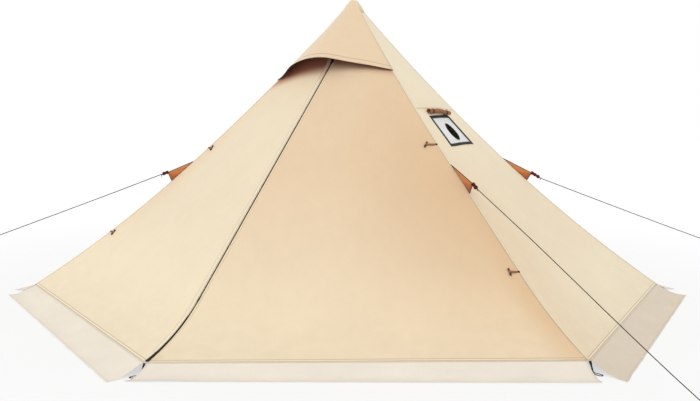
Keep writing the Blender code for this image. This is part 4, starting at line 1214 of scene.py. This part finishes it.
jack_low = (jack_surface(1, 0) - jack_surface(0, 0)).length
jack_high = (jack_surface(1, 1) - jack_surface(0, 1)).length
jack_width = (jack_low + jack_high) / 2
jack_length = (jack_surface(0, 1) - jack_surface(0, 0)).length
hole_width, hole_length, hole_across, hole_down = 0.100, 0.140, 0.50, 0.56
jack_steps = 16
glass_overlap, glass_depth = 0.004, 0.0010
frame_half = 0.011
frame_strip = ((-frame_half, 0.0008), (-frame_half + 0.0012, 0.0030), (-0.004, 0.0034), (0.004, 0.0034),
               (frame_half - 0.0012, 0.0030), (frame_half, 0.0006))
lip_strip = ((0.007, 0.0002), (0.006, 0.0012), (0.001, 0.0014), (-0.0012, 0.0), (-0.0008, -0.0018))
square_points = [(x + forth * i / jack_steps, y + down * i / jack_steps)
                 for x, y, forth, down in ((0, 0, 1, 0), (1, 0, 0, 1), (1, 1, -1, 0), (0, 1, 0, -1))
                 for i in range(jack_steps)]


def jack_ring(inset, lift):
    """Points round the jack's opening."""
    wide, tall = inset / jack_width, inset / jack_length
    return [jack_surface(wide + x * (1 - 2 * wide), tall + y * (1 - 2 * tall), lift)
            for x, y in square_points]


def jack_hole(grow, lift):
    """Points round the pipe's hole."""
    line = []
    for x, y in square_points:
        angle = math.atan2((y * 2 - 1) * jack_length, (x * 2 - 1) * jack_width)
        across = hole_across + math.cos(angle) * (hole_width / 2 + grow) / jack_width
        down = hole_down + math.sin(angle) * (hole_length / 2 + grow) / jack_length
        line.append(jack_surface(across, down, lift))
    return line


def ring_piece(name, rings, distances, material, thickness):
    """A closed band from rings of points."""
    points = [ring + ring[:1] for ring in rings]
    places = [[(distance, length) for length in lengths_along(ring)]
              for ring, distance in zip(points, distances)]
    return grid_piece(name, points, places, material, thickness=thickness)


def make_jack():
    outer, inner = jack_ring(-glass_overlap, -glass_depth), jack_hole(0.0, -glass_depth)
    normal = wall_normal("right", 0.4, 0.4)
    side = (jack_surface(1, 0.5) - jack_surface(0, 0.5)).normalized()
    down = (jack_surface(0.5, 1) - jack_surface(0.5, 0)).normalized()
    origin = jack_surface(0.5, 0.5)
    points = []
    for part in (0.0, 0.12, 0.3, 0.5, 0.7, 0.85, 0.94, 1.0):
        sag = -0.0035 * arch(part) + 0.0012 * ramp(0.85, 1.0, part)
        ring = [a.lerp(b, part) + normal * sag for a, b in zip(outer, inner)]
        points.append(ring + ring[:1])
    places = [[((p - origin).dot(side), (p - origin).dot(down)) for p in ring] for ring in points]
    sheet = grid_piece("jack_glass", points, places, glass_white, thickness=0.001)
    settle(sheet, "glass_cloth", "tent", "jack_sheet")
    settle(ring_piece("jack_hole_edge", [jack_hole(*pair) for pair in lip_strip],
                      (0.009, 0.008, 0.003, 0.0, -0.003), jack_web, 0.0008), "webbing")
    settle(ring_piece("jack_frame", [jack_ring(*pair) for pair in frame_strip],
                      [distance for distance, lift in frame_strip], jack_web, 0.0012),
           "webbing", "tent", "jack_binding")


roll_radius, roll_overlap, roll_turns, roll_start, roll_steps = 0.017, 0.012, 2.35, 2.2, 60
roll_clear, roll_gap, roll_pinch, pinch_reach = 0.0025, 0.0012, 0.16, 0.035
roll_ties, tie_ring_radius = (0.16, 0.80), 0.0165
roll_toggle_profile = mirrored([(0.0, -0.015), (0.0025, -0.0145), (0.0036, -0.012), (0.0036, -0.004),
                                (0.0026, -0.002)])


def make_roll():
    """The rain flap, rolled up: a slack spiral of cloth, tied with two loops."""
    above = -(frame_half + roll_radius + roll_gap) / jack_length
    lift = roll_radius + roll_clear
    low, high = -roll_overlap / jack_width, 1 + roll_overlap / jack_width
    normal = wall_normal("right", 0.36, 0.4)
    side = (jack_surface(high, above, lift) - jack_surface(low, above, lift)).normalized()
    way = side.cross(normal).normalized()

    def axis(part, lift):
        droop = -0.10 * (0.5 - part) + 0.012 * math.sin(part * 9.0)
        return jack_surface(between(low, high, part), above + droop, lift)

    points, places = [], []
    for part in gathered(34, 0.3):
        centre = axis(part, lift)
        pinch = 1 - roll_pinch * sum(bell(part, tie, pinch_reach) for tie in roll_ties)
        row = []
        for turn in spread(0, 1, roll_steps):
            angle = turn * 2 * math.pi * roll_turns + roll_start
            bump = rough(part * 11, angle * 0.9, 3.0) * 0.0034 * turn
            row.append(centre + swung(way, normal, angle) * ((0.0045 + 0.0115 * turn ** 0.8) * pinch + bump))
        points.append(row[::-1])
        places.append([(length, part * jack_width) for length in lengths_along(row)][::-1])
    item = grid_piece("jack_roll", points, places, roll_canvas, thickness=0.0010)
    settle(item, "canvas", "tent", "jack_flap_roll")
    for number, part in enumerate(roll_ties, 1):
        centre = axis(part, lift - 0.001)
        outs = [swung(way, normal, 2 * math.pi * i / 28) for i in range(29)]
        ring = [centre + out * tie_ring_radius for out in outs]
        tie = ribbon_piece("roll_tie_%d" % number, ring, side, outs, 0.005, 0.0012, black_web)
        settle(tie, "webbing")
        start = centre + (normal * 0.9 - way * 0.5).normalized() * 0.019
        bar = turned_piece("roll_toggle_%d" % number, start, side, roll_toggle_profile, plastic_pink)
        settle(bar, "black_plastic")


cross_share, cross_length = 0.345, 0.77


def make_cross_seam():
    """The seam across the right wall, above the stove jack."""
    def point(high, a):
        share = cross_share + high / slant
        lift = 0.0004 if abs(high) > 0.006 else 0.0014
        return lifted("right", share, inset_across("right", share, a, 0.006), lift)

    item = sheet_piece("seam_cross_right", (-0.007, -0.0055, 0.0, 0.0055, 0.007), gathered(50, 0.3), point,
                       lambda high, a: (high, a * cross_length), cross_canvas,
                       lambda high, a: strip_tone("right", cross_share + high / slant, a), thickness=0.001)
    settle(item, "canvas")


make_jack()
make_roll()
make_cross_seam()


# Guy tabs
Tab = namedtuple("Tab", "top bottom tip")
tabs = {
    "right": Tab(0.510, 0.588, 0.94),
    "back_right": Tab(0.512, 0.590, 0.88),
    "back_left": Tab(0.512, 0.590, 0.88),
    "left": Tab(0.527, 0.596, 0.88),
    "front_right": Tab(0.512, 0.591, 0.90),
}
tab_reach, tab_tip_half, tab_bind_half = 0.062, 0.006, 0.0024
tab_parts, tab_outs = spread(0, 1, 16), spread(0, 1, 8)


def make_tab(ridge, tab):
    """A fin on a ridge, with bound edges and a foot that is tacked down."""
    side, along = ridge_side(ridge), ridge_along(ridge, tab.bottom)
    tip = above_ridge(ridge, between(tab.top, tab.bottom, tab.tip), tab_reach)

    def flat(part, out):
        foot = above_ridge(ridge, between(tab.top, tab.bottom, part), 0.001)
        return foot.lerp(tip + along * (tab_tip_half * (2 * part - 1)), out)

    def tone(part, out):
        base = mixed(tab_light, tab_deep, ramp(0.25, 0.95, part) * (1 - 0.45 * out))
        # Painted shade along a fold across the tab.
        return mixed(base, tab_fold_shade, 0.6 * bell(part, 0.30 + 0.16 * out, 0.035))

    def point(part, out):
        warp = 0.0022 * arch(part) * arch(out) * math.sin(part * 9)
        return flat(part, out) + side * warp

    fin = sheet_piece("tab_" + ridge, tab_parts, tab_outs, point,
                      lambda part, out: (min(part, 1 - part) * 0.17 * (1 - out * 0.85), out * tab_reach),
                      tab_canvas, tone, thickness=0.0026)
    settle(fin, "tab_cloth", "tent", "guy_tab_" + ridge)
    first, last = ([flat(part, out) for out in tab_outs] for part in (0, 1))
    over = (first[0] - last[0]).normalized() * 0.0004
    path = [point + over for point in first] + [flat(part, 1) for part in tab_parts[1:-1]] + last[::-1]
    settle(tube_piece("tab_edge_" + ridge, path, tab_bind_half, brown_bind), "webbing")
    lift = ridge_up(ridge, tab.top) * 0.0022
    foot = [ridge_point(ridge, between(tab.top, tab.bottom, part)) + lift for part in tab_parts]
    settle(tube_piece("tab_foot_" + ridge, foot, tab_bind_half, brown_bind), "webbing")


for name, tab in tabs.items():
    make_tab(name, tab)


# Toggles
toggle_profile = mirrored([(0.0, -0.025), (0.0036, -0.0245), (0.0054, -0.0225), (0.0058, -0.019),
                           (0.0054, -0.008), (0.0036, -0.0045), (0.0031, 0.0)])
toggle_foot, foot_lift, bar_lift = 0.004, 0.0032, 0.0068
patch_width, patch_start, patch_reach, patch_middle, patch_steps = 0.022, 0.003, 0.024, 0.015, 8
web_half, web_thickness = 0.0062, 0.0012


def make_toggle(wall, from_left, place, share, out, lean):
    """A bar on a webbing loop, with the tack that holds it and the patch under it."""
    ending = "_%s_%s" % (wall, place)
    lean = math.radians(lean)
    far_across = across_at(wall, share, out, from_left)
    normal = wall_normal(wall, share, far_across)
    far = cloth_point(wall, share, far_across) + normal * bar_lift
    near = cloth_point(wall, share, across_at(wall, share, toggle_foot, from_left)) + normal * foot_lift
    way = (near - far).normalized()
    along = way.cross(normal).normalized()
    bar = turned_piece("toggle_bar" + ending, far, swung(along, way, lean).normalized(), toggle_profile,
                       plastic_black)
    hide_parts("toggle" + ending)
    run = (near - far).length
    knots = ((run, 0.0), (run * 0.6, 0.0016), (0.012, 0.0018), (0.003, 0.0056), (-0.0052, 0.0),
             (0.003, -0.0048), (0.012, -0.0024), (run * 0.6, -0.0024), (run, -0.0018))
    path = smooth_path([far + way * forth + normal * lift for forth, lift in knots], 40)
    turns = [lean * ramp(0.030, 0.004, (point - far).dot(way)) for point in path]
    sides = [swung(along, way, turn).normalized() for turn in turns]
    loop = ribbon_piece("toggle_loop" + ending, path, sides, normal, web_half, web_thickness, loop_web)

    def offset(i):
        return patch_start + patch_reach * i / patch_steps

    def point(i, j):
        at = share + (j / patch_steps - 0.5) * patch_width / ridge_length
        rim = 0.0006 + 0.0012 * ramp(0, 1, min(i, patch_steps - i, j, patch_steps - j))
        return lifted(wall, at, across_at(wall, at, offset(i), from_left), rim)

    steps = range(patch_steps + 1)
    patch = sheet_piece("toggle_patch" + ending, steps if from_left else steps[::-1], steps, point,
                        lambda i, j: (abs(offset(i) - patch_middle), j / patch_steps * patch_width),
                        patch_canvas, lambda i, j: strip_tone(wall, share, 0.5, 0.9), thickness=0.001)
    strip = [near - way * back + normal * lift
             for back, lift in ((0.012, 0.0016), (0.006, 0.0018), (0, 0.0016))]
    tack = ribbon_piece("toggle_tack" + ending, strip, along, normal, web_half, web_thickness, black_web)
    for piece, slot in ((bar, "black_plastic"), (loop, "webbing"), (patch, "canvas"), (tack, "webbing")):
        settle(piece, slot, leaf_of[wall])


for toggle in (("front", False, "upper", 0.454, 0.078, -24), ("front", False, "lower", 0.789, 0.062, 12),
               ("left", True, "upper", 0.480, 0.066, 24), ("left", True, "lower", 0.783, 0.066, 16)):
    make_toggle(*toggle)


# Corner loops
loop_turns = {"front_left": -17}
corner_half, corner_thickness = 0.0036, 0.0016
loop_knots = ((0.0, 0.0, 0.0588), (0.012, -0.001, 0.034), (0.021, -0.002, 0.010), (0.030, -0.004, 0.0035),
              (0.042, -0.010, 0.0025), (0.060, -0.0125, 0.0025), (0.078, -0.0105, 0.0025),
              (0.086, 0.0, 0.0025), (0.078, 0.0105, 0.0025), (0.060, 0.0125, 0.0025),
              (0.042, 0.010, 0.0030), (0.030, 0.004, 0.0042), (0.021, 0.002, 0.0112),
              (0.012, 0.001, 0.0355), (0.0, 0.0, 0.0598))


def make_corner_loop(ridge):
    """A webbing loop from the hem's corner down to the ground, wider at its top."""
    azimuth = ridges[ridge].azimuth
    out = outward(azimuth + loop_turns.get(ridge, 0))
    side = up.cross(out)
    corner = outward(azimuth) * corner_radius
    knots = [corner + out * away + side * aside + up * height for away, aside, height in loop_knots]
    line = smooth_path(knots, 70)
    sides, normals = [], []
    for behind, ahead in zip(line[:1] + line, line[1:] + line[-1:]):
        forward = (ahead - behind).normalized()
        across = up.cross(forward)
        if across.length < 0.6:
            across = side
        across = (across - forward * across.dot(forward)).normalized()
        if sides and across.dot(sides[-1]) < 0:
            across = -across
        sides.append(across)
        normals.append(forward.cross(across))
    sides = [across * (1 + 1.5 * ramp(0.030, 0.056, point.z)) for across, point in zip(sides, line)]
    item = ribbon_piece("loop_" + ridge, line, sides, normals, corner_half, corner_thickness, black_web)
    settle(item, "webbing", "tent", "corner_loop_" + ridge)


for name in ridges:
    make_corner_loop(name)


# Prop, pad and cup
pad_height, pad_squeeze = 0.02, 0.12


def make_strap(name, node, body):
    """A webbing piece in the place of a small CAD strip, with its edges softened."""
    item = link(bpy.data.objects.new(name, frame["nodes"][node].data.copy()))
    item.data.materials.clear()
    item.data.materials.append(black_web)
    low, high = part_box(node)
    middle = (low + high) / 2
    layer = item.data.uv_layers.get("cloth") or item.data.uv_layers.new(name="cloth")
    for loop in item.data.loops:
        point = item.data.vertices[loop.vertex_index].co - middle
        layer.data[loop.index].uv = (point.x, point.z)
    step = item.modifiers.new("soft", "BEVEL")
    step.width = 0.0006
    step.segments = 2
    return settle(item, "webbing", body, node)


prop = make_strap("prop_strip", "vent_prop", "vent_prop")
prop_base, prop_way = ridge_point("front_left", prop_share), ridge_up("front_left", prop_share)
for vertex in prop.data.vertices:
    high = (vertex.co - prop_base).dot(prop_way)
    if high > pad_height:
        vertex.co -= prop_way * ((high - pad_height) * pad_squeeze)
make_strap("prop_pad_strip", "vent_prop_pad", "tent")
make_strap("cup_strip", "pole_cup", "tent")

# Zip slider and its pull
slider_steps, slider_half, pull_high, pull_reach = 24, 0.00325, 0.0045, 0.0094


def make_slider():
    """Two crowned plates on a web with a bridge, and a ribbed pull on a ring."""
    joints = {joint["name"]: joint for joint in frame["joints"]}
    along = Vector(joints["zip_slide"]["axis"]).normalized()
    side = -Vector(joints["zip_pull_hinge"]["axis"]).normalized()
    square = side.cross(along)
    base = Vector(joints["zip_pull_hinge"]["pos_m"]) - along * 0.0142 - square * 0.0045
    parts = spread(0, 1, slider_steps)

    def at(forth, high, aside=0.0):
        return base + along * forth + square * high + side * aside

    def plate(name, start, length, high, halves, thickness, crown):
        line = [at(start + length * part, high) for part in parts]
        return ribbon_piece(name, line, side, square, halves, thickness, slider_enamel, crown=crown,
                            columns=9)

    body = []
    for name, high, crown in (("slider_plate", 0.0024, 0.0005), ("slider_under", -0.0048, -0.0005)):
        halves = [slider_half * (0.74 + 0.26 * ramp(0.2, 0.8, part)) * (1 - 0.42 * abs(2 * part - 1) ** 9)
                  for part in parts]
        body.append(plate(name, 0.0002, 0.0156, high, halves, 0.0012, crown))
    web = [at(0.001 + 0.014 * part, -0.0012, -0.00225) for part in parts]
    body.append(ribbon_piece("slider_web", web, square, side, 0.0029, 0.0016, slider_enamel))
    bridge = [at(*knot) for knot in ((0.0042, 0.0028), (0.0048, 0.0046), (0.0068, 0.0058), (0.0096, 0.0058),
                                     (0.0114, 0.0046), (0.0120, 0.0028))]
    body.append(tube_piece("slider_bridge", smooth_path(bridge, 24), 0.0006, slider_enamel))
    halves = [(0.0014 + 0.0017 * ramp(0.05, 0.35, part)) * (1 - 0.5 * ramp(0.9, 1.0, part) ** 2)
              for part in parts]
    turns = [2 * math.pi * step / 28 for step in range(28)]
    ring = [at(0.0118 + 0.0024 * math.cos(turn), pull_high, 0.0020 * math.sin(turn)) for turn in turns]
    ring = tube_piece("pull_ring", ring, 0.00055, slider_enamel, closed=True)
    pull = [plate("pull_plate", pull_reach, -0.0330, pull_high, halves, 0.0011, 0.0003), ring]
    for step in range(7):
        rib = [at(pull_reach - 0.0150 - 0.0023 * step, 0.0052, 0.0024 * part) for part in spread(-1, 1, 6)]
        pull.append(tube_piece("pull_rib_%d" % step, rib,
                               lambda part: 0.0004 * (1 - 0.5 * abs(2 * part - 1) ** 3), slider_enamel))
    for node, pieces in (("zip_slider", body), ("zip_pull", pull)):
        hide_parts(node)
        for piece in pieces:
            settle(piece, "zip", node)


make_slider()

# Finishes of the pole's own solids
finishes = {
    "pole_upper_tube": pole_metal, "pole_lower_tube": pole_metal, "pole_tip": foot_rubber,
    "pole_foot": foot_rubber, "pole_clamp": plastic_black, "clamp_lever": plastic_black,
    "lever_pin": pin_metal,
}
for node, material in finishes.items():
    item = frame["nodes"][node]
    if not item.material_slots:
        item.data.materials.append(material)
    item.material_slots[0].material = material


# Floor, backdrop and light
floor_half, floor_height = 60, -0.001
glow_from, glow_to, glow_near = 2.2, 5.0, 0.62
world_light, world_seen = 0.74, 1.0
lamps = (("key", 238, 42, 0.85, 50), ("fill", 320, 30, 0.25, 70))


def seen_rays(tree):
    """1 for what the camera sees, straight or through a gloss or glass, and 0 for other light."""
    rays = tree.nodes.new("ShaderNodeLightPath")
    seen = rays.outputs["Is Camera Ray"]
    for name in ("Is Glossy Ray", "Is Transmission Ray"):
        step = tree.nodes.new("ShaderNodeMath")
        step.operation = "MAXIMUM"
        tree.links.new(seen, step.inputs[0])
        tree.links.new(rays.outputs[name], step.inputs[1])
        seen = step.outputs[0]
    return seen


def make_stage():
    """A pale floor that turns into plain white away from the tent."""
    paint = Paint("floor", 0.9)
    place = paint.solid_place()
    tone = paint.mix(paint.grain(place, 2.0, 4.0), (0.86, 0.86, 0.855), (0.90, 0.90, 0.895))
    paint.join(tone, paint.shader.inputs["Base Color"])
    away = paint.node("ShaderNodeVectorMath", {0: place}, operation="LENGTH").outputs["Value"]
    far = paint.node("ShaderNodeMapRange", {"Value": away, "From Min": glow_from, "From Max": glow_to,
                                            "To Min": glow_near}).outputs[0]
    glow = paint.node("ShaderNodeEmission", {"Color": (1, 1, 1, 1), "Strength": 1.0})
    both = paint.node("ShaderNodeMixShader", {0: paint.math("MULTIPLY", far, seen_rays(paint.tree)),
                                              1: paint.shader.outputs[0], 2: glow.outputs[0]})
    paint.join(both.outputs[0], paint.tree.nodes["Material Output"].inputs["Surface"])
    corners = [(x * floor_half, y * floor_half, floor_height)
               for x, y in ((-1, -1), (1, -1), (1, 1), (-1, 1))]
    mesh_piece("floor", corners, [(0, 1, 2, 3)], [paint.material], smooth=False)


def make_light():
    """A white surround and two soft suns; each lamp is its name, azimuth, height, power and angle."""
    world = bpy.data.worlds.new("world")
    bpy.context.scene.world = world
    world.use_nodes = True
    tree = world.node_tree
    tree.nodes.clear()
    strength = tree.nodes.new("ShaderNodeMapRange")
    strength.inputs["To Min"].default_value = world_light
    strength.inputs["To Max"].default_value = world_seen
    tree.links.new(seen_rays(tree), strength.inputs["Value"])
    back = tree.nodes.new("ShaderNodeBackground")
    back.inputs["Color"].default_value = (1, 1, 1, 1)
    tree.links.new(strength.outputs[0], back.inputs["Strength"])
    end = tree.nodes.new("ShaderNodeOutputWorld")
    tree.links.new(back.outputs[0], end.inputs["Surface"])
    for name, azimuth, height, power, wide in lamps:
        data = bpy.data.lights.new(name, "SUN")
        data.energy = power
        data.angle = math.radians(wide)
        item = link(bpy.data.objects.new(name, data))
        way = swung(outward(azimuth), up, math.radians(height))
        item.rotation_mode = "QUATERNION"
        item.rotation_quaternion = way.to_track_quat("Z", "Y")


make_stage()
make_light()
bpy.context.scene.view_settings.view_transform = "Standard"
